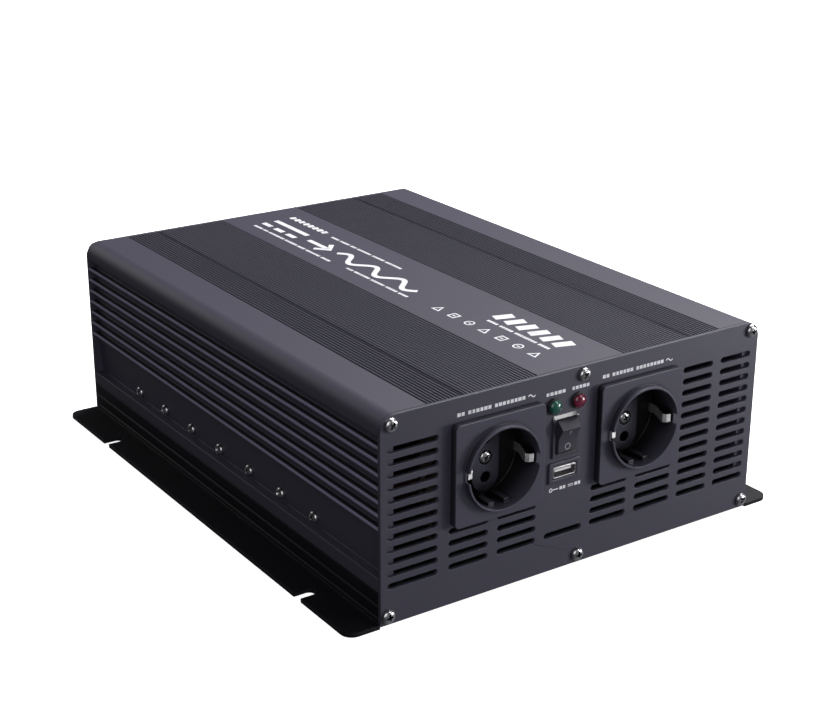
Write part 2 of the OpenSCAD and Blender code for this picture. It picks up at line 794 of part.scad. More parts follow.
// Pressed steel guards: rings joined by spokes, with an eye at each screw
module fan_guards() {
    color("silver") for (s = [-1, 1]) translate([s * fan_x, 0, fan_z]) stand(rear_y, 1.4) {
        difference() {
            union() {
                for (r = [6.5, 12.5, 18.5, 24.5]) difference() {
                    circle(r = r + 0.9);
                    circle(r = r - 0.9);
                }
                for (a = [45, 135]) rotate(a) difference() {
                    square([2 * fan_screw * sqrt(2) + 2, 1.8], center = true);
                    square([12, 3], center = true);
                }
                for (i = [-1, 1], j = [-1, 1]) translate([i * fan_screw, j * fan_screw]) circle(r = 4);
            }
            for (i = [-1, 1], j = [-1, 1]) translate([i * fan_screw, j * fan_screw]) circle(r = screw_r + 0.3);
        }
    }
}

module fan_screws() {
    color("silver") for (s = [-1, 1], i = [-1, 1], j = [-1, 1])
        translate([s * fan_x + i * fan_screw, rear_y + 1.4, fan_z + j * fan_screw])
            rotate([0, 0, 180]) pan_screw(16, head_r = 3.2);
}

// Insulating bushes, one red and one black, that carry the battery studs through the panel
module terminal_base(s) {
    translate([s * stud_x, 0, stud_z]) difference() {
        union() {
            rod_y(0, rear_y, 0, base_r, 8);
            stand(rear_y, 2.5) rounded_rect(2 * base_r + 4, 2 * base_r + 4, 3);
            rod_y(0, rear_in - 5, 0, 6, 12);
        }
        rod_y(0, rear_in - 10, 0, stud_r + 0.1, 30);
    }
}

module positive_terminal_base() { color([0.75, 0.08, 0.08]) terminal_base(-1); }

module negative_terminal_base() { color([0.07, 0.07, 0.07]) terminal_base(1); }

module terminal_studs() {
    color([0.82, 0.64, 0.3]) for (s = [-1, 1]) translate([s * stud_x, 0, stud_z]) {
        rod_y(0, rear_in - 22, 0, stud_r - stud_step, stud_free - rear_in + 22);
        rod_y(0, stud_free, 0, stud_r, stud_end - stud_free);
        difference() {
            rod_y(0, rear_in - 8.3, 0, 7.2, 3);
            rod_y(0, rear_in - 9, 0, stud_r - 0.5, 5);
        }
    }
}

module terminal_washers() {
    color("silver") {
        for (s = [-1, 1], y = [rear_y + 8 + gap, nut_y - 1.6 - gap]) translate([s * stud_x, 0, stud_z])
            difference() {
                rod_y(0, y, 0, 8, 1.6);
                rod_y(0, y - 1, 0, stud_r + 0.2, 4);
            }
        difference() {
            rod_y(ground_x, rear_y + gap, ground_z, 5, 1);
            rod_y(ground_x, rear_y - 1, ground_z, ground_r + 0.2, 4);
        }
    }
}

module hex_nut(r, bore, t) {
    rotate([-90, 0, 0]) difference() {
        cylinder(r = r, h = t, $fn = 6);
        translate([0, 0, -1]) cylinder(r = bore, h = t + 2);
    }
}

module terminal_nut(s) {
    translate([s * stud_x, nut_y, stud_z]) hex_nut(7.5, stud_r - stud_step + 0.05, 6.5);
}

module positive_nut() { color([0.82, 0.64, 0.3]) terminal_nut(-1); }

module negative_nut() { color([0.82, 0.64, 0.3]) terminal_nut(1); }

module ground_stud() {
    color("silver") {
        rod_y(ground_x, rear_in - 3 - gap, ground_z, ground_r - stud_step, ground_free - rear_in + 3 + gap);
        rod_y(ground_x, ground_free, ground_z, ground_r, 11);
        difference() {
            rod_y(ground_x, rear_in - 3 - gap, ground_z, 5, 3);
            rod_y(ground_x, rear_in - 4, ground_z, ground_r - 0.5, 6);
        }
    }
}

module ground_nut() {
    color("silver") translate([ground_x, rear_y + 1 + 2 * gap, ground_z]) hex_nut(4.6, ground_r - stud_step + 0.05, 4);
}

// Copper bars from the studs down to the board
module battery_busbars() {
    color([0.75, 0.4, 0.2]) for (s = [-1, 1]) translate([s * stud_x, 0, 0]) difference() {
        union() {
            translate([-7, rear_in - 14, board_top + gap]) cube([14, 2.5, stud_z + 8 - board_top]);
            translate([-7, rear_in - 46, board_top + gap]) cube([14, 33, 2.5]);
        }
        rod_y(0, rear_in - 20, stud_z, stud_r + 0.2, 12);
    }
}

// Live, neutral and earth leads of each outlet
module outlet_leads() {
    for (x = outlet_x) {
        color([0.5, 0.3, 0.15]) lead(contact_route(x, outlet_z - pin_gap / 2, x - 9), 1.3);
        color([0.1, 0.3, 0.7]) lead(contact_route(x, outlet_z + pin_gap / 2, x + 7), 1.3);
        color([0.4, 0.7, 0.2]) lead(earth_route(x, x + 16), 1.3);
    }
}

module fan_leads() {
    color([0.7, 0.1, 0.1]) {
        lead(fan_route, 0.9);
        on_right() lead(fan_route, 0.9);
    }
}

top_cover();
base_tray();
front_panel();
rear_panel();
front_panel_screws();
rear_panel_screws();
side_screws_left();
side_screws_right();
left_outlet_housing();
right_outlet_housing();
left_earth_clips();
right_earth_clips();
left_outlet_contacts();
right_outlet_contacts();
outlet_centre_screws();
lamp_holders();
power_lamp();
fault_lamp();
switch_bezel();
power_rocker();
switch_terminals();
usb_bezel();
usb_shell();
usb_tongue();
usb_board();
main_board();
board_standoffs();
board_screws();
control_board();
transformer_cores();
transformer_windings();
output_choke();
bulk_capacitors();
input_capacitors();
blade_fuses();
fuse_sockets();
buzzer();
left_transistors();
right_transistors();
left_insulating_pad();
right_insulating_pad();
left_clamp_bar();
right_clamp_bar();
left_fan_frame();
right_fan_frame();
left_fan_rotor();
right_fan_rotor();
fan_guards();
fan_screws();
positive_terminal_base();
negative_terminal_base();
terminal_studs();
terminal_washers();
positive_nut();
negative_nut();
ground_stud();
ground_nut();
battery_busbars();
outlet_leads();
fan_leads();
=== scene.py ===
"""Looks of a power inverter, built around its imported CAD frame.

The frame is the CAD's own: +Z up, -Y out of the front panel, +X to the right. Blender's unit is the metre.
Pieces are drawn in millimetres and scaled by MM.
"""

import json
import math

import bmesh
import bpy
from mathutils import Matrix, Quaternion, Vector


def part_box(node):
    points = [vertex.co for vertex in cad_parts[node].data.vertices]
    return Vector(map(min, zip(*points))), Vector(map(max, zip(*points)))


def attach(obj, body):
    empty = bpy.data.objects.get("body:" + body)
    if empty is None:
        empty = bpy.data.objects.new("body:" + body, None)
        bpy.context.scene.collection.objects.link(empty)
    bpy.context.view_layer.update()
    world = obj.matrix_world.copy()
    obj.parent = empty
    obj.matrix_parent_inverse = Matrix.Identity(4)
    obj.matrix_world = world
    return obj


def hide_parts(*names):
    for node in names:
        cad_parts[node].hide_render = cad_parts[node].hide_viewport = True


MM = 0.001
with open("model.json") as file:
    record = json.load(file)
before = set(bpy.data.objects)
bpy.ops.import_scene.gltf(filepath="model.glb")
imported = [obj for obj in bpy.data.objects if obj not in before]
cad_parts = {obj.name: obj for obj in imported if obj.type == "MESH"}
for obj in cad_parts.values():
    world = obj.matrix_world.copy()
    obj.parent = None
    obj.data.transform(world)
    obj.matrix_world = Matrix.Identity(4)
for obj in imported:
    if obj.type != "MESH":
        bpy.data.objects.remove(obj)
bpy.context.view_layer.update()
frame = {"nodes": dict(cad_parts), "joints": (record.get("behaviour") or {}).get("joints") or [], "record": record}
NODES = frame["nodes"]
NODE_LOOKS = {row["node"]: row["material_slot"] for row in frame["record"]["subparts"]}


# ---------- shared mesh helpers ----------

def box_mm(node):
    """Lowest and highest corner of a CAD node, in millimetres."""
    lo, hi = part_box(node)
    return lo / MM, hi / MM


def axis_of(node):
    """X and Z of the middle of a CAD node, in millimetres."""
    lo, hi = box_mm(node)
    return (lo.x + hi.x) / 2, (lo.z + hi.z) / 2


FRONT_Y = box_mm("front_panel")[0].y
REAR_Y = box_mm("rear_panel")[1].y
TOP_Z = box_mm("top_cover")[1].z
EDGE_ANGLE = math.radians(28)


def welded(node):
    """A CAD node's mesh as a bmesh with its split corners joined again, in metres."""
    bm = bmesh.new()
    bm.from_mesh(NODES[node].data)
    bmesh.ops.remove_doubles(bm, verts=bm.verts, dist=2e-6)
    return bm


def solids(node):
    """Boxes of the separate solids in a CAD node, as (lowest, highest) corners in millimetres."""
    bm = welded(node)
    seen = set()
    boxes = []
    for start in bm.verts:
        if start in seen:
            continue
        seen.add(start)
        stack, group = [start], []
        while stack:
            vert = stack.pop()
            group.append(vert.co)
            for edge in vert.link_edges:
                other = edge.other_vert(vert)
                if other not in seen:
                    seen.add(other)
                    stack.append(other)
        lo = Vector(min(co[i] for co in group) for i in range(3)) / MM
        hi = Vector(max(co[i] for co in group) for i in range(3)) / MM
        boxes.append((lo, hi))
    bm.free()
    return boxes


def plain_mesh(name, bm):
    """A new mesh from a bmesh in metres, without the normals that the import stored."""
    bm.verts.index_update()
    points = [vert.co.copy() for vert in bm.verts]
    faces = [[vert.index for vert in face.verts] for face in bm.faces]
    bm.free()
    mesh = bpy.data.meshes.new(name)
    mesh.from_pydata(points, [], faces)
    mesh.polygons.foreach_set("use_smooth", [True] * len(mesh.polygons))
    mesh.update()
    return mesh


def add_piece(name, mesh, look, body="case", replaces=()):
    """An object with one look, on a body."""
    piece = bpy.data.objects.new(name, mesh)
    bpy.context.scene.collection.objects.link(piece)
    piece.data.materials.append(LOOKS[look])
    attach(piece, body)
    if replaces:
        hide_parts(*replaces)
    return piece


def refined(name, node, look, width, segments=2, body="case"):
    """The CAD node's own shape with clean flats and edges rounded by width millimetres."""
    bm = welded(node)
    bmesh.ops.dissolve_limit(bm, angle_limit=math.radians(0.4), verts=bm.verts, edges=bm.edges)
    piece = add_piece(name, plain_mesh(name, bm), look, body, [node])
    bevel = piece.modifiers.new("edges", "BEVEL")
    bevel.width = width * MM
    bevel.segments = segments
    bevel.limit_method = "ANGLE"
    bevel.angle_limit = EDGE_ANGLE
    bevel.use_clamp_overlap = False
    bevel.miter_outer = "MITER_ARC"
    weigh_normals(piece, 60)
    return piece


def from_bmesh_mm(name, bm, look, crease=None, **options):
    """A piece from a bmesh of closed solids in millimetres, with edges over crease degrees kept sharp."""
    bmesh.ops.recalc_face_normals(bm, faces=bm.faces)
    bmesh.ops.scale(bm, vec=(MM, MM, MM), verts=bm.verts)
    piece = add_piece(name, plain_mesh(name, bm), look, **options)
    if crease:
        piece.data.set_sharp_from_angle(angle=math.radians(crease))
    return piece


def weigh_normals(piece, weight=50):
    """Shade flats flat up to their rounded edges."""
    normals = piece.modifiers.new("normals", "WEIGHTED_NORMAL")
    normals.keep_sharp = True
    normals.weight = weight


def revolve(bm, profile, axis_point, segments=32, direction=(0, -1, 0)):
    """Turn (radius, height) points about the direction through axis_point. Radius 0 closes an end."""
    turn = Vector((0, 0, 1)).rotation_difference(Vector(direction)).to_matrix()
    rings = []
    for radius, height in profile:
        if radius == 0:
            rings.append([bm.verts.new(axis_point + turn @ Vector((0, 0, height)))])
            continue
        ring = []
        for k in range(segments):
            a = 2 * math.pi * k / segments
            offset = Vector((radius * math.cos(a), radius * math.sin(a), height))
            ring.append(bm.verts.new(axis_point + turn @ offset))
        rings.append(ring)
    for low, high in zip(rings, rings[1:]):
        for k in range(segments):
            n = (k + 1) % segments
            corners = [low[k % len(low)], low[n % len(low)], high[n % len(high)], high[k % len(high)]]
            corners = list(dict.fromkeys(corners))
            if len(corners) > 2:
                bm.faces.new(corners)
    return rings


def skin(bm, rings, closed=False):
    """Quads between each ring of points and the next, and from the last to the first if closed."""
    for low, high in zip(rings, rings[1:] + rings[:1] if closed else rings[1:]):
        for k in range(len(low)):
            n = (k + 1) % len(low)
            bm.faces.new((low[k], low[n], high[n], high[k]))


def prism(bm, outline, y0, y1):
    """A closed solid between two planes across Y from an outline of (x, z) points."""
    rings = [[bm.verts.new((x, y, z)) for x, z in outline] for y in (y0, y1)]
    bm.faces.new(rings[0])
    bm.faces.new(rings[1])
    skin(bm, rings)


def joined(meshes):
    """One bmesh from (mesh, matrix) pairs."""
    bm = bmesh.new()
    for mesh, matrix in meshes:
        first = len(bm.verts)
        bm.from_mesh(mesh)
        bm.verts.ensure_lookup_table()
        bmesh.ops.transform(bm, matrix=matrix, verts=bm.verts[first:])
    return bm


def carved(base, cutter, operation="DIFFERENCE"):
    """The mesh of base with cutter cut out of it, or kept only inside it. Both are bmeshes."""
    pair = []
    for bm in (base, cutter):
        bmesh.ops.recalc_face_normals(bm, faces=bm.faces)
        mesh = bpy.data.meshes.new("carve")
        bm.to_mesh(mesh)
        bm.free()
        helper = bpy.data.objects.new("carve", mesh)
        bpy.context.scene.collection.objects.link(helper)
        pair.append(helper)
    cut = pair[0].modifiers.new("cut", "BOOLEAN")
    cut.object = pair[1]
    cut.operation = operation
    cut.solver = "EXACT"
    cut.use_self = True
    shape = pair[0].evaluated_get(bpy.context.evaluated_depsgraph_get())
    mesh = bpy.data.meshes.new_from_object(shape)
    for helper in pair:
        bpy.data.objects.remove(helper)
    return mesh


# ---------- materials ----------

def map_range(tree, value, *limits):
    """A Map Range node's result. limits are from min, from max, to min and to max."""
    node = tree.nodes.new("ShaderNodeMapRange")
    for name, limit in zip(("From Min", "From Max", "To Min", "To Max"), limits):
        node.inputs[name].default_value = limit
    tree.links.new(value, node.inputs["Value"])
    return node.outputs["Result"]


# Where the cover's side fins lie, for their painted highlight and shade: lowest and highest, and how far from the
# middle of the case.
FIN_LOW, FIN_HIGH = 47, 90
FIN_ROOT_X, FIN_GAP_X, FIN_TIP_X = 106.5, 108.5, 108.8


def set_sockets(node, values):
    """Set a node's sockets by name, with underscores for spaces."""
    for name, value in values.items():
        node.inputs[name.replace("_", " ")].default_value = value


class Finish:
    """One procedural material. Positions are the object's own, in metres."""

    def __init__(self, name, colour, roughness, **values):
        self.material = bpy.data.materials.new(name)
        self.material.use_nodes = True
        self.nodes = self.material.node_tree.nodes
        self.links = self.material.node_tree.links
        self.shader = self.nodes["Principled BSDF"]
        set_sockets(self.shader, {"Base_Color": (*colour, 1), "Roughness": roughness, **values})
        self.place = self.nodes.new("ShaderNodeTexCoord").outputs["Object"]
        self.height = None

    def node(self, kind, **values):
        node = self.nodes.new("ShaderNode" + kind)
        set_sockets(node, values)
        return node

    def noise(self, size, detail=3.0, stretch=(1, 1, 1)):
        """Noise whose features are about size millimetres, divided by stretch."""
        mapping = self.node("Mapping", Scale=stretch)
        self.links.new(self.place, mapping.inputs["Vector"])
        node = self.node("TexNoise", Scale=1 / (size * MM), Detail=detail)
        self.links.new(mapping.outputs["Vector"], node.inputs["Vector"])
        return node.outputs["Fac"]

    def specks(self, size):
        """Rounded cells about size millimetres across."""
        node = self.node("TexVoronoi", Scale=1 / (size * MM))
        self.links.new(self.place, node.inputs["Vector"])
        return node.outputs["Distance"]

    def painted_hollow_shade(self, reach):
        """1 where nothing stands within reach millimetres, less in holes and corners; used to paint shade into
        them.
        """
        return self.node("AmbientOcclusion", Distance=reach * MM).outputs["AO"]

    def maths(self, operation, first, second):
        """A Math node on two sockets or numbers."""
        node = self.node("Math")
        node.operation = operation
        for socket, value in zip(node.inputs, (first, second)):
            if isinstance(value, (int, float)):
                socket.default_value = value
            else:
                self.links.new(value, socket)
        return node.outputs["Value"]

    def fins(self):
        """1 on the tips of the cover's side fins, for a painted highlight, 0 in the gaps between them, for painted
        shade, and 0.5 elsewhere.
        """
        apart = self.node("SeparateXYZ")
        self.links.new(self.place, apart.inputs["Vector"])
        side = self.maths("ABSOLUTE", apart.outputs["X"], 0)
        finned = self.between(apart.outputs["Z"], FIN_LOW, FIN_HIGH)
        tips = self.maths("MULTIPLY", self.maths("GREATER_THAN", side, FIN_TIP_X * MM), finned)
        gaps = self.maths("MULTIPLY", self.between(side, FIN_ROOT_X, FIN_GAP_X), finned)
        change = self.maths("SUBTRACT", tips, gaps)
        return self.maths("MULTIPLY", self.maths("ADD", change, 1.0), 0.5)

    def between(self, value, low, high):
        """1 where value is between low and high millimetres, 0 elsewhere."""
        above = self.maths("GREATER_THAN", value, low * MM)
        below = self.maths("LESS_THAN", value, high * MM)
        return self.maths("MULTIPLY", above, below)

    def colours(self, value, dark, light, start=0.3, end=0.7):
        """Colour between dark and light as value goes from start to end."""
        ramp = self.node("ValToRGB")
        self.ramp = ramp.color_ramp
        for element, position, colour in zip(self.ramp.elements, (start, end), (dark, light)):
            element.position = position
            element.color = (*colour, 1)
        self.links.new(value, ramp.inputs["Fac"])
        self.links.new(ramp.outputs["Color"], self.shader.inputs["Base Color"])
        return self

    def roughness(self, value, low, high):
        """Roughness between low and high as value goes from 0.3 to 0.7."""
        spread = map_range(self.material.node_tree, value, 0.3, 0.7, low, high)
        self.links.new(spread, self.shader.inputs["Roughness"])
        return self

    def bump(self, value, depth):
        """Bump of depth millimetres. A second call adds to the first."""
        node = self.node("Bump", Distance=depth * MM)
        self.links.new(value, node.inputs["Height"])
        if self.height:
            self.links.new(self.height, node.inputs["Normal"])
        self.height = node.outputs["Normal"]
        self.links.new(self.height, self.shader.inputs["Normal"])
        return self


def scaled(colour, by):
    """A colour made darker or lighter."""
    return tuple(min(1, c * by) for c in colour)


def anodised(name, colour, roughness, shine=0.5, fins=False):
    """Black anodised aluminium: etched grain, faint die lines along Y, and with fins, a painted highlight on the
    fin tips and painted shade in the gaps between them.
    """
    look = Finish(name, colour, roughness, Specular_IOR_Level=shine)
    grain = look.noise(0.35, 4)
    die_lines = look.noise(0.8, 2, stretch=(1, 0.01, 1))
    if fins:
        # Painted highlight: the fin tips five times lighter. Painted shade: the gaps between the fins much darker.
        look.colours(look.fins(), scaled(colour, 0.15), scaled(colour, 5), 0, 1)
        middle = look.ramp.elements.new(0.5)
        middle.color = (*colour, 1)
    else:
        look.colours(look.noise(60, 2), scaled(colour, 0.86), scaled(colour, 1.14))
    look.roughness(grain, roughness - 0.05, roughness + 0.06)
    return look.bump(grain, 0.012).bump(die_lines, 0.01).material


def powder(name, colour, roughness):
    """Powder coat: a fine orange peel with faint lighter grains."""
    look = Finish(name, colour, roughness)
    peel = look.specks(0.55)
    grain = look.noise(0.25, 3)
    look.colours(grain, scaled(colour, 0.85), scaled(colour, 1.2))
    look.roughness(look.noise(14, 3), roughness - 0.04, roughness + 0.05)
    return look.bump(peel, 0.02).bump(grain, 0.008).material


def plastic(name, colour, roughness, grain=0.3, depth=0.01, hollow_shade_reach=0, **values):
    """Moulded plastic: a fine spark-eroded grain, and soft clouds, or painted shade that darkens holes and corners
    within the given reach.
    """
    look = Finish(name, colour, roughness, **values)
    fine = look.noise(grain, 3)
    if hollow_shade_reach:
        # Painted shade: almost black deep in holes and corners.
        look.colours(look.painted_hollow_shade(hollow_shade_reach), scaled(colour, 0.03), colour, 0.45, 0.78)
    else:
        look.colours(look.noise(9, 3), scaled(colour, 0.88), scaled(colour, 1.14))
    look.roughness(fine, max(0.05, roughness - 0.05), roughness + 0.06)
    return look.bump(fine, depth).material


def metal(name, colour, roughness, stretch=(1, 1, 1), size=0.5, hollow_shade_reach=0):
    """Bare or plated metal: fine machining marks, and dull patches, or painted shade that darkens holes and
    corners within the given reach.
    """
    look = Finish(name, colour, roughness, Metallic=1.0)
    marks = look.noise(size, 4, stretch)
    if hollow_shade_reach:
        # Painted shade: almost black deep in holes and corners.
        look.colours(look.painted_hollow_shade(hollow_shade_reach), scaled(colour, 0.05), colour, 0.35, 0.8)
    else:
        look.colours(look.noise(2.5, 3), scaled(colour, 0.82), scaled(colour, 1.08))
    look.roughness(marks, max(0.05, roughness - 0.07), roughness + 0.1)
    return look.bump(marks, 0.004).material


def lens(name, colour, deep):
    """Coloured clear epoxy of an indicator lamp."""
    look = Finish(name, colour, 0.12, IOR=1.5, Coat_Weight=0.3, Coat_Roughness=0.15)
    look.colours(look.noise(1.6, 2), deep, colour)
    look.roughness(look.noise(0.7, 2), 0.2, 0.3)
    return look.bump(look.noise(0.9, 1), 0.004).material


def board_mask(name):
    """Green solder mask over copper tracks and tinned pads."""
    colour = (0.006, 0.035, 0.016)
    look = Finish(name, colour, 0.35)
    light, dark = (*scaled(colour, 1.35), 1), (*scaled(colour, 0.5), 1)
    tracks = look.node(
        "TexBrick", Scale=1 / (7 * MM), Mortar_Size=0.05, Color1=(*colour, 1), Color2=light, Mortar=dark
    )
    look.links.new(look.place, tracks.inputs["Vector"])
    look.links.new(tracks.outputs["Color"], look.shader.inputs["Base Color"])
    look.roughness(look.noise(3, 3), 0.25, 0.45)
    return look.bump(tracks.outputs["Fac"], -0.03).material


def wound(name, colour, size, direction):
    """Wound wire or tape: fine ridges across the winding direction."""
    look = Finish(name, colour, 0.4)
    wave = look.node("TexWave", Scale=0.314 / (size * MM), Distortion=0.6)
    wave.bands_direction = direction
    look.links.new(look.place, wave.inputs["Vector"])
    look.colours(wave.outputs["Fac"], scaled(colour, 0.55), scaled(colour, 1.15), 0.1, 0.8)
    look.roughness(look.noise(1.5, 3), 0.3, 0.5)
    return look.bump(wave.outputs["Fac"], 0.12).material


def floor_paint(name):
    """Pale studio paper with some light of its own, so that it is white away from the lamps too."""
    look = Finish(name, (0.86, 0.86, 0.86), 0.8, Emission_Color=(1, 1, 1, 1), Emission_Strength=0.92)
    look.colours(look.noise(400, 2), (0.84, 0.84, 0.84), (0.88, 0.88, 0.88))
    return look.bump(look.noise(1.2, 3), 0.01).material


LOOKS = {
    # The cover: painted highlight on its fin tips and painted shade in the gaps between them.
    "black_extrusion": anodised("anodised_cover", (0.05, 0.047, 0.072), 0.5, fins=True),
    "black_tray": anodised("anodised_tray", (0.006, 0.006, 0.009), 0.5, 0.2),
    "black_panel": powder("powder_coat", (0.044, 0.042, 0.065), 0.5),
    # Painted shade in the screws' cross recesses and other small hollows.
    "zinc_screw": metal("zinc_plate", (0.5, 0.5, 0.52), 0.27, size=0.3, hollow_shade_reach=1.6),
    # Painted shade that darkens the outlets' deep wells.
    "outlet_plastic": plastic(
        "outlet_plastic", (0.06, 0.058, 0.084), 0.42, hollow_shade_reach=24, Specular_IOR_Level=0.35
    ),
    "earth_clip": metal("nickel_clip", (0.93, 0.92, 0.91), 0.45, stretch=(1, 0.1, 1)),
    "brass": metal("brass", (0.72, 0.5, 0.2), 0.27, size=0.4),
    "lamp_holder": plastic("lamp_holder", (0.012, 0.012, 0.013), 0.4),
    "green_lens": lens("green_lens", (0.012, 0.11, 0.08), (0.005, 0.045, 0.035)),
    "red_lens": lens("red_lens", (0.2, 0.01, 0.045), (0.08, 0.004, 0.02)),
    "switch_plastic": plastic(
        "switch_plastic", (0.03, 0.029, 0.04), 0.3, Coat_Weight=1.0, Coat_Roughness=0.12
    ),
    "rocker_plastic": plastic("rocker_plastic", (0.03, 0.028, 0.042), 0.55, grain=0.22, depth=0.012),
    "usb_bezel": plastic("usb_bezel", (0.044, 0.042, 0.063), 0.4),
    "usb_steel": metal("usb_steel", (0.6, 0.58, 0.59), 0.42, stretch=(1, 0.2, 1)),
    "usb_insulator": plastic("usb_insulator", (0.66, 0.65, 0.66), 0.4),
    "circuit_board": board_mask("solder_mask"),
    "component_black": plastic("black_epoxy", (0.02, 0.02, 0.021), 0.5),
    "ferrite": plastic("ferrite", (0.06, 0.06, 0.065), 0.62, grain=0.5, depth=0.03),
    "winding_tape": wound("winding_tape", (0.03, 0.017, 0.006), 4.0, "Z"),
    "copper": metal("copper", (0.06, 0.028, 0.018), 0.4, stretch=(1, 1, 0.1)),
    "capacitor_sleeve": plastic("capacitor_sleeve", (0.012, 0.02, 0.07), 0.25),
    "fuse_plastic": plastic("fuse_plastic", (0.02, 0.11, 0.035), 0.25),
    "insulating_pad": plastic("silicone_pad", (0.16, 0.18, 0.19), 0.7, grain=0.8, depth=0.03),
    # Painted shade: the bare aluminium clamp bars are coloured near black, so that they read as shade through the
    # slots.
    "clamp_aluminium": metal("sawn_aluminium_in_painted_shade", (0.09, 0.09, 0.095), 0.5, stretch=(1, 0.05, 1)),
    "fan_plastic": plastic("fan_plastic", (0.014, 0.014, 0.015), 0.42),
    "guard_steel": metal("guard_chrome", (0.62, 0.62, 0.64), 0.16, size=0.8),
    "red_terminal": plastic("red_terminal", (0.5, 0.014, 0.012), 0.28),
    "black_terminal": plastic("black_terminal", (0.014, 0.014, 0.015), 0.28),
    "lead_insulation": plastic("lead_insulation", (0.035, 0.018, 0.012), 0.5),
    "white_print": plastic("white_print", (0.76, 0.76, 0.8), 0.5, grain=0.4, depth=0.004),
    "grey_print": plastic("grey_print", (0.22, 0.22, 0.25), 0.5, grain=0.4, depth=0.004),
}


# ---------- case ----------

def end_outline(node):
    """The outer outline of a CAD extrusion's front end, as (x, z) points in millimetres."""
    bm = welded(node)
    front = min(vert.co.y for vert in bm.verts)
    ends = [face for face in bm.faces if all(abs(vert.co.y - front) < 1e-5 for vert in face.verts)]
    rim = {}
    for face in ends:
        for loop in face.loops:
            if loop.edge.link_loops[0].face in ends and loop.edge.link_loops[-1].face in ends:
                continue
            rim[loop.vert] = loop.link_loop_next.vert
    outlines = []
    while rim:
        start, vert = rim.popitem()
        outline = [start]
        while vert is not start:
            outline.append(vert)
            vert = rim.pop(vert)
        outlines.append([Vector((vert.co.x, vert.co.z)) / MM for vert in outline])
    bm.free()
    return max(outlines, key=len)


def rounded_outline(points, centre_x, centre_z, radius, fillet):
    """Finer arcs around the two top corners, and a small fillet on every other corner."""
    fine = []
    count = len(points)
    for i, point in enumerate(points):
        after = points[(i + 1) % count]
        fine.append(point)
        middle = Vector((math.copysign(centre_x, point.x), centre_z))
        on_arc = [abs((p - middle).length - radius) < 0.03 and p.y > centre_z - 0.1 for p in (point, after)]
        if all(on_arc) and (after - point).length < radius:
            for k in (1, 2, 3):
                fine.append(middle + (point.lerp(after, k / 4) - middle).normalized() * radius)
    result = []
    count = len(fine)
    for i, point in enumerate(fine):
        before, after = fine[i - 1], fine[(i + 1) % count]
        arrive, leave = (point - before).normalized(), (after - point).normalized()
        if (point - before).length < 1e-4:
            continue
        turn = math.acos(max(-1, min(1, arrive.dot(leave))))
        if turn < EDGE_ANGLE:
            result.append(point)
            continue
        reach = min(fillet, 0.4 * (point - before).length, 0.4 * (after - point).length)
        first, last = point - arrive * reach, point + leave * reach
        for k in range(6):
            t = k / 5
            result.append(first * (1 - t) ** 2 + point * 2 * t * (1 - t) + last * t * t)
    return result


def build_cover():
    """The finned cover as one smooth extrusion of its own CAD outline.

    The inner faces of its side walls move outwards, so that they don't show in the slots.
    """
    lo, hi = box_mm("top_cover")
    corner, fillet = 8, 0.6
    inner_x, thinner_x, ledge_z = 104.7, 106.3, 24.5
    outline = []
    for point in end_outline("top_cover"):
        on_inner_wall = abs(abs(point.x) - inner_x) < 0.05 and point.y > ledge_z
        outline.append(Vector((math.copysign(thinner_x, point.x), point.y)) if on_inner_wall else point)
    outline = rounded_outline(outline, hi.x - corner, hi.z - corner, corner, fillet)
    bm = bmesh.new()
    prism(bm, [tuple(point) for point in outline], lo.y, hi.y)
    piece = from_bmesh_mm("cover_shell", bm, "black_extrusion", crease=50, replaces=["top_cover"])
    weigh_normals(piece)


def build_case():
    build_cover()
    refined("tray_shell", "base_tray", "black_tray", 0.35)
    refined("front_plate", "front_panel", "black_panel", 0.28)
    refined("rear_plate", "rear_panel", "black_panel", 0.28)


# ---------- screws ----------

def screw_mesh(head_r, head_t, shank_r, length):
    """Pan-head cross-recess screw in millimetres, its head's underside at the origin and facing -Y."""
    body = bmesh.new()
    rim, crown = 0.3, 0.18
    dome = [(head_r, 0), (head_r, head_t * rim)]
    for k in range(1, 7):
        a = math.pi / 2 * k / 6
        radius = head_r * (crown + (1 - crown) * math.cos(a))
        dome.append((radius, head_t * (rim + (1 - rim) * math.sin(a))))
    shank = [(0, -length), (shank_r * 0.7, -length), (shank_r, -length + 0.6), (shank_r, 0)]
    revolve(body, shank + dome + [(0, head_t)], Vector((0, 0, 0)), 40)
    cutter = bmesh.new()
    mouth = (-head_t - 0.3, head_r * 0.6, head_r * 0.19)
    bottom = (-head_t * 0.28, head_r * 0.26, head_r * 0.11)
    for angle in (20, 110):
        arm = bmesh.new()
        rings = []
        for y, half, thick in (mouth, bottom):
            corners = ((-1, -1), (1, -1), (1, 1), (-1, 1))
            rings.append([arm.verts.new((sx * half, y, sz * thick)) for sx, sz in corners])
            arm.faces.new(rings[-1])
        skin(arm, rings)
        turn = Matrix.Rotation(math.radians(angle), 3, "Y")
        bmesh.ops.rotate(arm, cent=(0, 0, 0), matrix=turn, verts=arm.verts)
        part = bpy.data.meshes.new("arm")
        arm.to_mesh(part)
        arm.free()
        cutter.from_mesh(part)
    return carved(body, cutter)


def place_screws(name, node, mesh, head_t, direction, seed):
    """A screw for each solid of the CAD node, its head towards direction, each turned differently."""
    direction = Vector(direction)
    turn = Vector((0, -1, 0)).rotation_difference(direction).to_matrix().to_4x4()
    axis = max(range(3), key=lambda i: abs(direction[i]))
    placed = []
    for k, (lo, hi) in enumerate(sorted(solids(node), key=lambda box: tuple(box[0]))):
        seat = (lo + hi) / 2
        outer = hi[axis] if direction[axis] > 0 else lo[axis]
        seat[axis] = outer - direction[axis] * head_t
        spin = Matrix.Rotation(math.radians((k * 137 + seed * 61) % 90), 4, "Y")
        placed.append((mesh, Matrix.Translation(seat) @ turn @ spin))
    weigh_normals(from_bmesh_mm(name, joined(placed), "zinc_screw", crease=38, replaces=[node]))


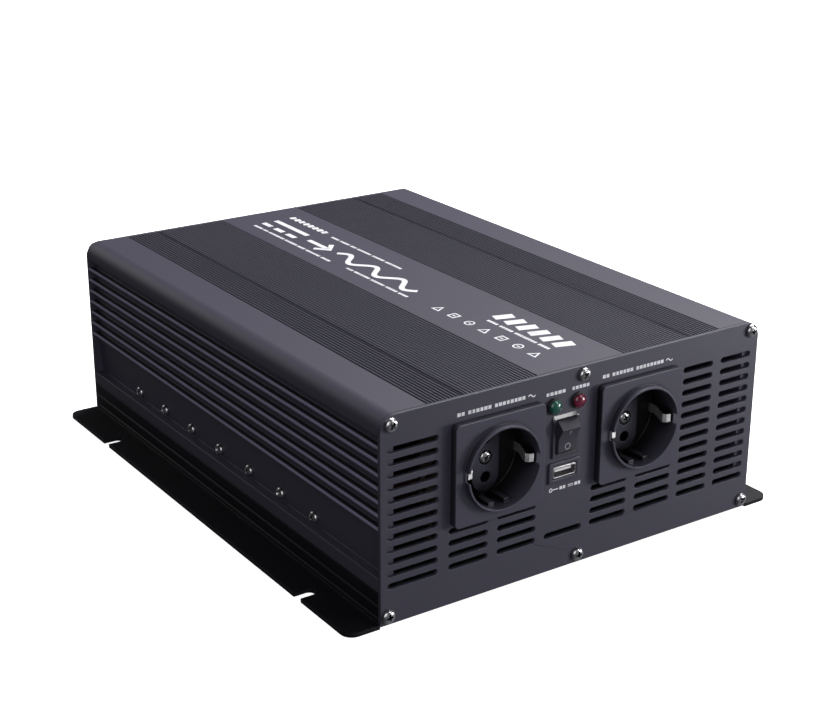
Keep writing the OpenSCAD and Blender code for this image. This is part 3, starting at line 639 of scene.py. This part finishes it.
def build_screws():
    high, low, shank_r = 2.3, 1.9, 1.45
    panel = screw_mesh(3.3, high, shank_r, 11)
    side = screw_mesh(3, high, shank_r, 13.5)
    fan = screw_mesh(3.2, high, shank_r, 16)
    centre = screw_mesh(3.1, low, 1.55, 9)
    rows = (
        ("front_screw_set", "front_panel_screws", panel, high, (0, -1, 0)),
        ("rear_screw_set", "rear_panel_screws", panel, high, (0, 1, 0)),
        ("left_side_screw_set", "side_screws_left", side, high, (-1, 0, 0)),
        ("right_side_screw_set", "side_screws_right", side, high, (1, 0, 0)),
        ("fan_screw_set", "fan_screws", fan, high, (0, 1, 0)),
        ("centre_screw_set", "outlet_centre_screws", centre, low, (0, -1, 0)),
    )
    for seed, row in enumerate(rows, 1):
        place_screws(*row, seed)


# ---------- outlets ----------

def build_outlets():
    for side in ("left", "right"):
        refined(f"{side}_outlet_shell", f"{side}_outlet_housing", "outlet_plastic", 0.35, 3)
        refined(f"{side}_earth_springs", f"{side}_earth_clips", "earth_clip", 0.12)


# ---------- controls ----------

def rounded_loop(bm, x, z, half_w, half_h, radius, y):
    """A ring of points around a rounded rectangle across Y."""
    ring = []
    count = 24
    for k in range(count):
        a = 2 * math.pi * (k + 0.5) / count
        side = math.copysign(half_w - radius, math.cos(a))
        up = math.copysign(half_h - radius, math.sin(a))
        ring.append(bm.verts.new((x + side + radius * math.cos(a), y, z + up + radius * math.sin(a))))
    return ring


def sleeve(bm, x, z, sections, closed=False):
    """A shell of rounded rectangles across Y, given as (half width, half height, corner radius, y)."""
    rings = [rounded_loop(bm, x, z, *section) for section in sections]
    skin(bm, rings, closed)
    return rings


def bezel(bm, x, z, body, flange, hole, closed=False):
    """A bezel's shell. Its parts are (half width, half height, rows of (step out, corner, y))."""
    sections = [
        (half_w + step, half_h + step, corner, y)
        for half_w, half_h, rows in (body, flange, hole) for step, corner, y in rows
    ]
    return sleeve(bm, x, z, sections, closed)


def build_switch_frame():
    """The switch's frame: a low flange whose top slopes down to the front, and the pocket behind it."""
    x, z = axis_of("switch_bezel")
    front, back = FRONT_Y - 1.1, box_mm("switch_bezel")[1].y
    pocket_floor = back - 2.5
    body = (6.75, 9.45, [(0, 0.3, back), (0, 0.3, FRONT_Y)])
    edge = [(0, 0.8, FRONT_Y), (0, 0.8, FRONT_Y - 0.15), (-0.08, 0.8, front + 0.12), (-0.2, 0.75, front)]
    mouth = [(0.2, 0.4, front), (0.03, 0.3, front + 0.15), (0, 0.3, front + 0.5), (0, 0.3, pocket_floor)]
    bm = bmesh.new()
    rings = bezel(bm, x, z, body, (7.5, 10.4, edge), (5.75, 8.5, mouth))
    for ring, slope in ((rings[4], 1.35), (rings[5], 1.42)):
        for vert in ring:
            if vert.co.z > z:
                vert.co.z -= slope
    bm.faces.new(rings[0])
    bm.faces.new(rings[-1])
    from_bmesh_mm("switch_frame", bm, "switch_plastic", crease=35, replaces=["switch_bezel"])


def build_usb_frame():
    """The port's frame: a flange with softened edges around an opening for the shell."""
    x, z = axis_of("usb_bezel")
    lo, hi = box_mm("usb_bezel")
    front, back = lo.y, hi.y
    body = (7.5, 3.8, [(0, 0.3, back), (0, 0.3, FRONT_Y)])
    edge = [(0, 0.8, FRONT_Y), (0, 0.8, front + 0.25), (-0.08, 0.8, front + 0.07), (-0.25, 0.75, front)]
    mouth = [(0.2, 0.4, front), (0.05, 0.3, front + 0.08), (0, 0.3, front + 0.3), (0, 0.3, back)]
    bm = bmesh.new()
    bezel(bm, x, z, body, (9, 5.25, edge), (6.75, 3.05, mouth), closed=True)
    from_bmesh_mm("usb_frame", bm, "usb_bezel", crease=35, replaces=["usb_bezel"])


def build_usb_shell():
    """A formed steel shell with thick lips rolled in at its mouth."""
    x, z = axis_of("usb_shell")
    lo, hi = box_mm("usb_shell")
    half_w, half_h, back = (hi.x - lo.x) / 2, (hi.z - lo.z) / 2, hi.y
    corner, least_corner = 1, 0.25
    inset = [
        (0, 0, back), (0, 0, FRONT_Y - 0.5), (0.08, 0.08, FRONT_Y - 0.7), (0.2, 0.35, FRONT_Y - 0.84),
        (0.35, 0.7, FRONT_Y - 0.88), (0.42, 0.85, FRONT_Y - 0.8), (0.45, 0.9, FRONT_Y - 0.55),
        (0.4, 0.5, FRONT_Y + 1.4), (0.4, 0.5, back),
    ]
    bm = bmesh.new()
    sections = [(half_w - w, half_h - h, max(least_corner, corner - w), y) for w, h, y in inset]
    sleeve(bm, x, z, sections, closed=True)
    from_bmesh_mm("usb_sleeve", bm, "usb_steel", crease=50, replaces=["usb_shell"])


def build_usb_tongue():
    """The tongue that carries the contacts, reaching further forward than in CAD, as the photo shows it."""
    x, z = axis_of("usb_shell")
    cad_front = box_mm("usb_tongue")[0].y
    front, right, bottom, top, length = FRONT_Y - 0.75, x + 3.9, z + 0.5, z + 1.75, 8
    for vert in refined("usb_insert", "usb_tongue", "usb_insulator", 0.15).data.vertices:
        place = vert.co / MM
        if place.y < cad_front + 0.05:
            vert.co.y = front * MM
        if place.y < cad_front + length and place.x > x:
            vert.co.x = right * MM
        if place.y < cad_front + length:
            vert.co.z = (top if place.z > z + 1 else bottom) * MM


def build_lamp(name, node, look):
    """A lamp's dome, a little flatter than the CAD ball."""
    flatter = 0.75
    root = (FRONT_Y - 0.2) * MM
    for vert in refined(name, node, look, 0.1).data.vertices:
        if vert.co.y < root:
            vert.co.y = root + flatter * (vert.co.y - root)


def build_controls():
    refined("lamp_collars", "lamp_holders", "lamp_holder", 0.2)
    build_lamp("power_lamp_dome", "power_lamp", "green_lens")
    build_lamp("fault_lamp_dome", "fault_lamp", "red_lens")
    build_switch_frame()
    refined("rocker_cap", "power_rocker", "rocker_plastic", 0.35, 3, body="rocker")
    build_usb_frame()
    build_usb_shell()
    build_usb_tongue()


# ---------- rear ----------

def fan_blade(bm, x, z, y_mid, turn, hub_r, tip_r):
    """One cambered blade. Towards its tip the pitch eases and the chord grows, up to a rounded end."""
    rows, columns = 8, 7
    root_r, round_from = hub_r - 0.6, 0.8
    half_t, edge_t, camber_t, sweep = 0.55, 0.08, 1.3, 0.014
    grid = []
    for side in (1, -1):
        sheet = []
        for i in range(rows + 1):
            r = root_r + (tip_r - root_r) * i / rows
            pitch = math.radians(48 - 1.1 * (r - hub_r))
            chord = 14.5 + 0.28 * (r - hub_r) - 5 * max(0, i / rows - round_from)
            line = []
            for j in range(columns + 1):
                s = j / columns - 0.5
                out = camber_t * (1 - 4 * s * s) + side * (half_t * (1 - (2 * s) ** 4) + edge_t)
                along = s * chord * math.cos(pitch) - out * math.sin(pitch)
                y = y_mid + s * chord * math.sin(pitch) + out * math.cos(pitch)
                a = turn + along / r + sweep * (r - hub_r)
                line.append(bm.verts.new((x + r * math.cos(a), y, z + r * math.sin(a))))
            sheet.append(line)
        grid.append(sheet)
    for sheet in grid:
        for low, high in zip(sheet, sheet[1:]):
            for j in range(columns):
                bm.faces.new((low[j], low[j + 1], high[j + 1], high[j]))
    front, back = grid
    for end in (0, columns):
        for i in range(rows):
            bm.faces.new((front[i][end], front[i + 1][end], back[i + 1][end], back[i][end]))
    for end in (0, rows):
        for j in range(columns):
            bm.faces.new((front[end][j], front[end][j + 1], back[end][j + 1], back[end][j]))


def build_fan(side):
    """A fan's housing, and its rotor: a hub cup with seven blades."""
    refined(f"{side}_fan_housing", f"{side}_fan_frame", "fan_plastic", 0.5, 3)
    node = f"{side}_fan_rotor"
    x, z = axis_of(node)
    lo, hi = box_mm(node)
    hub_r, tip_r, shaft_r, shaft_end, blades = 12.4, 27.1, 1.6, 12.2, 7
    bm = bmesh.new()
    depth = hi.y - lo.y
    cup = [
        (0, shaft_end), (shaft_r, shaft_end), (shaft_r, 0),
        (hub_r - 0.8, 0), (hub_r, 0.8), (hub_r, depth - 1.6),
        (hub_r - 0.5, depth - 0.45), (hub_r - 1.7, depth), (hub_r - 2.6, depth), (hub_r - 3, depth - 0.35),
        (3.4, depth - 0.35), (3, depth - 0.05), (0, depth - 0.05),
    ]
    revolve(bm, cup, Vector((x, lo.y, z)), 56, (0, 1, 0))
    for k in range(blades):
        fan_blade(bm, x, z, (lo.y + hi.y) / 2, 2 * math.pi * k / blades, hub_r, tip_r)
    name = f"{side}_fan_wheel"
    from_bmesh_mm(name, bm, "fan_plastic", crease=40, body=f"{side}_rotor", replaces=[node])


def wire(bm, path, radius, closed=False, sides=10):
    """Round wire along points in millimetres."""
    count = len(path)
    rings = []
    for i, point in enumerate(path):
        ahead = path[(i + 1) % count] if closed or i + 1 < count else path[i]
        behind = path[i - 1] if closed or i else path[i]
        t = (ahead - behind).normalized()
        across = t.cross(Vector((0, 1, 0))).normalized()
        up = across.cross(t)
        ring = []
        for k in range(sides):
            a = 2 * math.pi * k / sides
            ring.append(bm.verts.new(point + radius * (math.cos(a) * across + math.sin(a) * up)))
        rings.append(ring)
    skin(bm, rings, closed)
    if not closed:
        bm.faces.new(rings[0])
        bm.faces.new(rings[-1])


def circle_path(x, y, z, radius, count=72):
    turns = [2 * math.pi * k / count for k in range(count)]
    return [Vector((x + radius * math.cos(a), y, z + radius * math.sin(a))) for a in turns]


def build_guards():
    """Chromed wire guards: four rings on crossed spokes that end in eyes at the screws."""
    bm = bmesh.new()
    wire_r = 0.7
    ring_radii = (6.5, 12.5, 18.5, 24.5)
    eye_r, eye_at = 3.2, 25
    spoke_end = eye_at * math.sqrt(2) - eye_r
    for lo, hi in solids("fan_guards"):
        middle = (lo + hi) / 2
        for radius in ring_radii:
            wire(bm, circle_path(*middle, radius), wire_r, closed=True)
        for sx in (-1, 1):
            for sz in (-1, 1):
                out = Vector((sx, 0, sz)).normalized()
                wire(bm, [middle + out * r for r in (ring_radii[0], 20, spoke_end)], wire_r)
                eye = middle + Vector((sx * eye_at, 0, sz * eye_at))
                wire(bm, circle_path(*eye, eye_r, 32), wire_r, closed=True)
    from_bmesh_mm("guard_wires", bm, "guard_steel", replaces=["fan_guards"])


def threaded_rod(bm, x, z, y0, y1, radius, pitch, chamfer):
    """A closed rod along Y with a real helical thread and chamfered ends."""
    sides, per_pitch, flank = 28, 8, 1.3
    count = int((y1 - y0) / pitch * per_pitch)
    depth = 0.54 * pitch
    rings = []
    for i in range(count + 1):
        y = y0 + (y1 - y0) * i / count
        ring = []
        for k in range(sides):
            phase = ((y - y0) / pitch - k / sides) % 1
            r = radius - depth * abs(2 * phase - 1) ** flank
            r = min(r, radius - max(0, chamfer - (y1 - y)), radius - max(0, chamfer - (y - y0)))
            a = 2 * math.pi * k / sides
            ring.append(bm.verts.new((x + r * math.cos(a), y, z + r * math.sin(a))))
        rings.append(ring)
    skin(bm, rings)
    bm.faces.new(rings[0])
    bm.faces.new(rings[-1])


def hex_nut_mesh(radius, bore, thickness):
    """Hexagon nut with chamfered corners, its lower face at the origin and its axis along +Y."""
    body = bmesh.new()
    turns = [math.pi / 3 * k for k in range(6)]
    prism(body, [(radius * math.cos(a), radius * math.sin(a)) for a in turns], 0, thickness)
    inside = bmesh.new()
    lead = 0.45
    flat = radius * math.cos(math.pi / 6)
    drop = (radius - flat) * math.tan(math.radians(30)) * 1.4
    shape = [
        (bore + lead, 0), (flat * 0.97, 0), (radius + 0.2, drop), (radius + 0.2, thickness - drop),
        (flat * 0.97, thickness), (bore + lead, thickness), (bore, thickness - lead), (bore, lead),
        (bore + lead, 0),
    ]
    rings = revolve(inside, shape, Vector((0, 0, 0)), 48, (0, 1, 0))
    bmesh.ops.remove_doubles(inside, verts=rings[0] + rings[-1], dist=1e-4)
    return carved(body, inside, "INTERSECT")


def build_nut(name, node, look, bore):
    lo, hi = box_mm(node)
    x, z = axis_of(node)
    nut = hex_nut_mesh((hi.x - lo.x) / 2, bore, hi.y - lo.y)
    bm = joined([(nut, Matrix.Translation((x, lo.y, z)))])
    from_bmesh_mm(name, bm, look, crease=25, body=node, replaces=[node])


def collar(bm, x, y, z, radius, chamfer, segments):
    """A disc on a stud, with broken edges."""
    thickness, inset = 3, 0.2
    profile = [
        (0, 0), (radius - inset, 0), (radius, chamfer),
        (radius, thickness - chamfer), (radius - inset, thickness), (0, thickness),
    ]
    revolve(bm, profile, Vector((x, y, z)), segments, (0, 1, 0))


def build_terminals():
    """Battery posts and the chassis ground stud: bases, washers, threaded studs with collars, nuts."""
    refined("positive_bush", "positive_terminal_base", "red_terminal", 0.5, 3)
    refined("negative_bush", "negative_terminal_base", "black_terminal", 0.5, 3)
    refined("plain_washers", "terminal_washers", "zinc_screw", 0.2)
    collar_at = 13.7
    bm = bmesh.new()
    for lo, hi in solids("terminal_studs"):
        x, z = (lo.x + hi.x) / 2, (lo.z + hi.z) / 2
        threaded_rod(bm, x, z, lo.y, hi.y, radius=4, pitch=1.25, chamfer=0.9)
        collar(bm, x, lo.y + collar_at, z, 7.2, 0.3, 40)
    from_bmesh_mm("battery_studs", bm, "brass", replaces=["terminal_studs"])
    bm = bmesh.new()
    lo, hi = box_mm("ground_stud")
    x, z = axis_of("ground_stud")
    threaded_rod(bm, x, z, lo.y, hi.y, radius=2.5, pitch=0.8, chamfer=0.6)
    collar(bm, x, lo.y, z, 5, 0.2, 32)
    from_bmesh_mm("earth_stud", bm, "zinc_screw", replaces=["ground_stud"])
    build_nut("positive_hex_nut", "positive_nut", "brass", 4.04)
    build_nut("negative_hex_nut", "negative_nut", "brass", 4.04)
    build_nut("ground_hex_nut", "ground_nut", "zinc_screw", 2.53)


def build_rear():
    build_fan("left")
    build_fan("right")
    build_guards()
    build_terminals()


# ---------- printed marks ----------

# How far the ink stands over the surface and reaches into it.
INK, SUNK = 0.06, 0.02


def front_face(u, v, h):
    """u to the right and v up on the front panel, h proud of it."""
    return Vector((u, FRONT_Y - h, v))


def rear_face(u, v, h):
    """u to the right seen from behind and v up on the rear panel, h proud of it."""
    return Vector((-u, REAR_Y + h, v))


def top_face(u, v, h):
    """u along the top towards the front panel and v towards +X, h proud of it."""
    return Vector((v, -u, TOP_Z + h))


class Ink:
    """Printing in one bmesh. place turns u, v and the height over the surface into a point."""

    def __init__(self, place):
        self.bm = bmesh.new()
        self.place = place

    def stroke(self, path, width, closed=False):
        """A line of ink of even width along (u, v) points."""
        count = len(path)
        points = [Vector(point) for point in path]
        left, right = [], []
        for i, point in enumerate(points):
            ahead = points[(i + 1) % count] if closed or i + 1 < count else point
            behind = points[i - 1] if closed or i else point
            arriving, leaving = point - behind, ahead - point
            before = (arriving if arriving.length else leaving).normalized()
            after = (leaving if leaving.length else arriving).normalized()
            along = (before + after).normalized()
            reach = min(2.0, 1 / max(0.5, along.dot(after)))
            across = Vector((-along.y, along.x)) * width / 2 * reach
            left.append(point + across)
            right.append(point - across)
        base = [[self.bm.verts.new(self.place(*p, -SUNK)) for p in side] for side in (left, right)]
        ink = [[self.bm.verts.new(self.place(*p, INK)) for p in side] for side in (left, right)]
        face = self.bm.faces.new
        for i in range(count if closed else count - 1):
            n = (i + 1) % count
            face((ink[0][i], ink[0][n], ink[1][n], ink[1][i]))
            face((base[0][i], base[1][i], base[1][n], base[0][n]))
            face((ink[0][i], base[0][i], base[0][n], ink[0][n]))
            face((ink[1][i], ink[1][n], base[1][n], base[1][i]))
        if not closed:
            for i in (0, count - 1):
                face((ink[0][i], ink[1][i], base[1][i], base[0][i]))

    def bar(self, u0, u1, v, width):
        self.stroke([(u0, v), (u1, v)], width)

    def ring(self, u, v, radius, width):
        turns = [2 * math.pi * k / 36 for k in range(36)]
        path = [(u + radius * math.cos(a), v + radius * math.sin(a)) for a in turns]
        self.stroke(path, width, closed=True)

    def wave(self, u0, u1, v, height, periods, width):
        """The sign for alternating current: a sine."""
        count = 24 * periods
        path = []
        for k in range(count + 1):
            phase = 2 * math.pi * periods * k / count
            path.append((u0 + (u1 - u0) * k / count, v + height * math.sin(phase)))
        self.stroke(path, width)

    def direct_current(self, u, v, length, width):
        """The sign for direct current: a line over three dashes."""
        self.bar(u, u + length, v + width, width)
        dash = length / 4
        for k in range(3):
            start = u + k * (length - dash) / 2
            self.bar(start, start + dash, v - width, width)

    def blocks(self, u, v, words, pitch, height, lean=0.0):
        """A row of plain blocks in the rhythm of a printed line. words holds the blocks in each group."""
        shift = lean * height / 2
        for word in words:
            for k in range(word):
                width = pitch * (0.66 + 0.045 * ((3 * k + 2 * word) % 5))
                self.stroke([(u - shift, v - height / 2), (u + shift, v + height / 2)], width)
                u += pitch
            u += pitch * 0.65
        return u


def print_front():
    """Blocks over the outlets, over the lamps and below the USB port, with the signs of their currents."""
    ink = Ink(front_face)
    title_z, lamp_z, port_z = 91.9, 90.2, 42.4
    for start in (-69, 12.2):
        end = ink.blocks(start, title_z, (2, 6, 8), 2.15, 1.7)
        ink.wave(end - 1, end + 3, title_z, 0.6, 1, 0.55)
    ink.blocks(-20.4, lamp_z, (5,), 2.3, 1.6)
    ink.blocks(-5.7, lamp_z, (5,), 2.1, 1.6)
    ink.ring(-16.9, port_z, 0.8, 0.45)
    ink.bar(-16.1, -12.6, port_z, 0.5)
    ink.blocks(-11, port_z, (2,), 1.9, 1.6)
    ink.direct_current(-6.8, port_z, 3, 0.4)
    ink.blocks(-2.2, port_z, (2,), 1.9, 1.6)
    return ink.bm


def print_symbol(ink, kind, u):
    """A plain triangle (0), or a square (1) or ring (2) with a dash in it."""
    low, high, middle, line = -12, -7.4, -9.7, 0.8
    if kind == 0:
        ink.stroke([(u - 2.6, low), (u + 2.6, low), (u, high)], line, closed=True)
    elif kind == 1:
        ink.stroke([(u - 2.3, low), (u + 2.3, low), (u + 2.3, high), (u - 2.3, high)], line, closed=True)
        ink.bar(u - 1, u + 1, middle, 0.9)
    else:
        ink.ring(u, middle, 2.4, line)
        ink.bar(u - 1, u + 1, middle, line)


def print_top():
    """A direct to alternating current sign among plain rows of blocks, in the band's middle."""
    ink = Ink(top_face)
    sign_x, arrow = -3.5, 5.8
    ink.bar(-130, -94, 0.6, 3.2)
    for u in (-130, -116.5, -103):
        ink.bar(u, u + 9, -7.6, 3.2)
    ink.bar(-86, -66, sign_x, 3)
    ink.stroke([(-71, sign_x + arrow), (-64, sign_x), (-71, sign_x - arrow)], 2.8)
    ink.wave(-56, 22, sign_x, 4.4, 3, 3)
    ink.blocks(-129, 11.6, (8,), 5, 3.6, 0.25)
    ink.blocks(-83, 10.2, (4, 5, 3, 7, 6, 8), 1.95, 1.7)
    ink.blocks(-128, -14.2, (5, 3, 9, 7, 4, 8, 5), 1.85, 1.7)
    ink.blocks(-30, -12.8, (3, 7, 6, 5, 4), 2.1, 1.7)
    for k in range(6):
        u = 76 + k * 9.2
        ink.stroke([(u, 4.6), (u + 3, 14.4)], 5.6)
    ink.blocks(78, 0, (4, 5, 8, 4), 2.1, 1.8)
    for k in range(7):
        print_symbol(ink, k % 3, 50 + k * 12.8)
    return ink.bm


def print_rear():
    """Plus and minus over the battery posts, and the earth sign beside the ground stud."""
    ink = Ink(rear_face)
    above, half = 16.5, 2.2
    for node in ("positive_terminal_base", "negative_terminal_base"):
        x, z = axis_of(node)
        ink.bar(-x - half, -x + half, z + above, 0.9)
        if node.startswith("positive"):
            ink.bar(-x - 0.45, -x + 0.45, z + above, 2 * half)
    z = axis_of("ground_stud")[1]
    earth_u, stem = 9, 0.22
    for k, half in enumerate((2.6, 1.7, 0.8)):
        ink.bar(earth_u - half, earth_u + half, z + 0.9 - k * 1.1, 0.45)
    ink.bar(earth_u - stem, earth_u + stem, z + 2.2, 2.2)
    return ink.bm


def print_rocker():
    """On and off signs on the rocker's two faces, which lie half its swing either side of its middle."""
    face_out = 4
    joint = next(j for j in frame["joints"] if j["name"] == "power_rocker")
    pivot = Vector(joint["pos_m"]) / MM
    swing = math.radians(joint["range_deg"][1] / 2)
    turn = Matrix.Rotation(swing, 3, "X")

    def half_face(direction):
        """A function that places points on the upper face (1) or the lower face (-1)."""
        def place(u, v, h):
            out = face_out + v * math.sin(swing) + h * math.cos(swing)
            up = v * math.cos(swing) - h * math.sin(swing)
            return pivot + turn @ Vector((u, -out, direction * up))
        return place

    ink = Ink(half_face(1))
    ink.bar(-0.3, 0.3, 3.6, 2.8)
    ink.place = half_face(-1)
    ink.ring(0, 3.9, 1.4, 0.55)
    return ink.bm


def build_marks():
    prints = {"front_print": print_front, "top_print": print_top, "rear_print": print_rear}
    for name, draw in prints.items():
        piece = from_bmesh_mm(name, draw(), "white_print")
        piece.data.polygons.foreach_set("use_smooth", [False] * len(piece.data.polygons))
    from_bmesh_mm("rocker_signs", print_rocker(), "grey_print", body="rocker")


# ---------- everything that keeps its CAD shape ----------

def dress_remaining():
    """Give every CAD node the look of its slot in the record, which shows if no piece replaces it."""
    for name, node in NODES.items():
        node.data.materials.clear()
        node.data.materials.append(LOOKS[NODE_LOOKS[name]])


# ---------- floor, light and camera ----------

# Soft lights in metres: name, place, aim, width, height, power in watts.
SOFTBOXES = (
    ("top_softbox", (0.9, 0.25, 1.5), (0, 0, 0.05), 1.0, 1.0, 45),
    ("key_softbox", (0.66, -0.62, 0.07), (0, -0.15, 0.06), 0.3, 0.12, 3.2),
    ("fill_softbox", (-0.75, -1.1, 0.6), (0, -0.1, 0.05), 1.0, 1.0, 6),
    ("glint_softbox", (0.566, -0.887, 0.64), (0, -0.15, 0.07), 0.3, 0.3, 2.4),
    ("rear_softbox", (-0.5, 1.5, 0.7), (0, 0.1, 0.05), 0.9, 0.9, 3),
)

# The studio's glow is the product of two ramps: axis, where it starts and ends, strength there.
GLOW = (("Z", -0.1, 0.25, 0.2, 0.035), ("X", -0.5, 0.7, 0.25, 1.5))

# The view of the photograph, in degrees, metres and millimetres of focal length.
AZIMUTH, ELEVATION, ROLL = -34.05, 20.63, 0.14
CAMERA_PLACE = (-0.4514, -0.6786, 0.3660)
LENS, SENSOR = 72.3, 36


def area_light(name, location, target, width, height, power):
    light = bpy.data.lights.new(name, "AREA")
    light.energy = power
    light.shape = "RECTANGLE"
    light.size = width
    light.size_y = height
    lamp = bpy.data.objects.new(name, light)
    bpy.context.scene.collection.objects.link(lamp)
    lamp.location = location
    aim = Vector(target) - Vector(location)
    lamp.rotation_euler = aim.to_track_quat("-Z", "Y").to_euler()


def build_floor():
    """A pale floor that the object neither mirrors nor is lit by."""
    bpy.ops.mesh.primitive_plane_add(size=40, location=(0, 0, 0))
    floor = bpy.context.object
    floor.name = "floor"
    floor.data.materials.append(floor_paint("floor_paint"))
    floor.visible_diffuse = False
    floor.visible_glossy = False


def build_world():
    """A dim studio that is brighter low down and to the right."""
    world = bpy.data.worlds.new("studio")
    bpy.context.scene.world = world
    world.use_nodes = True
    nodes, links = world.node_tree.nodes, world.node_tree.links
    ways = nodes.new("ShaderNodeSeparateXYZ")
    links.new(nodes.new("ShaderNodeTexCoord").outputs["Generated"], ways.inputs["Vector"])
    product = nodes.new("ShaderNodeMath")
    product.operation = "MULTIPLY"
    for (axis, *limits), factor in zip(GLOW, product.inputs):
        links.new(map_range(world.node_tree, ways.outputs[axis], *limits), factor)
    background = nodes["Background"]
    background.inputs["Color"].default_value = (0.92, 0.94, 1, 1)
    links.new(product.outputs["Value"], background.inputs["Strength"])


def build_stage():
    build_floor()
    build_world()
    for softbox in SOFTBOXES:
        area_light(*softbox)
    bpy.context.scene.view_settings.view_transform = "Standard"


def build_camera():
    """The camera of the photograph, looking at the object from azimuth and elevation."""
    azimuth, elevation, roll = math.radians(AZIMUTH), math.radians(ELEVATION), math.radians(ROLL)
    back = Vector((
        math.sin(azimuth) * math.cos(elevation),
        -math.cos(azimuth) * math.cos(elevation),
        math.sin(elevation),
    ))
    camera = bpy.data.objects.new("camera", bpy.data.cameras.new("camera"))
    bpy.context.scene.collection.objects.link(camera)
    camera.location = CAMERA_PLACE
    camera.rotation_mode = "QUATERNION"
    camera.rotation_quaternion = (-back).to_track_quat("-Z", "Y") @ Quaternion((0, 0, 1), roll)
    camera.data.sensor_width = SENSOR
    camera.data.lens = LENS
    camera.data.clip_start = 0.01
    bpy.context.scene.camera = camera


dress_remaining()
build_case()
build_screws()
build_outlets()
build_controls()
build_rear()
build_marks()
build_stage()
build_camera()
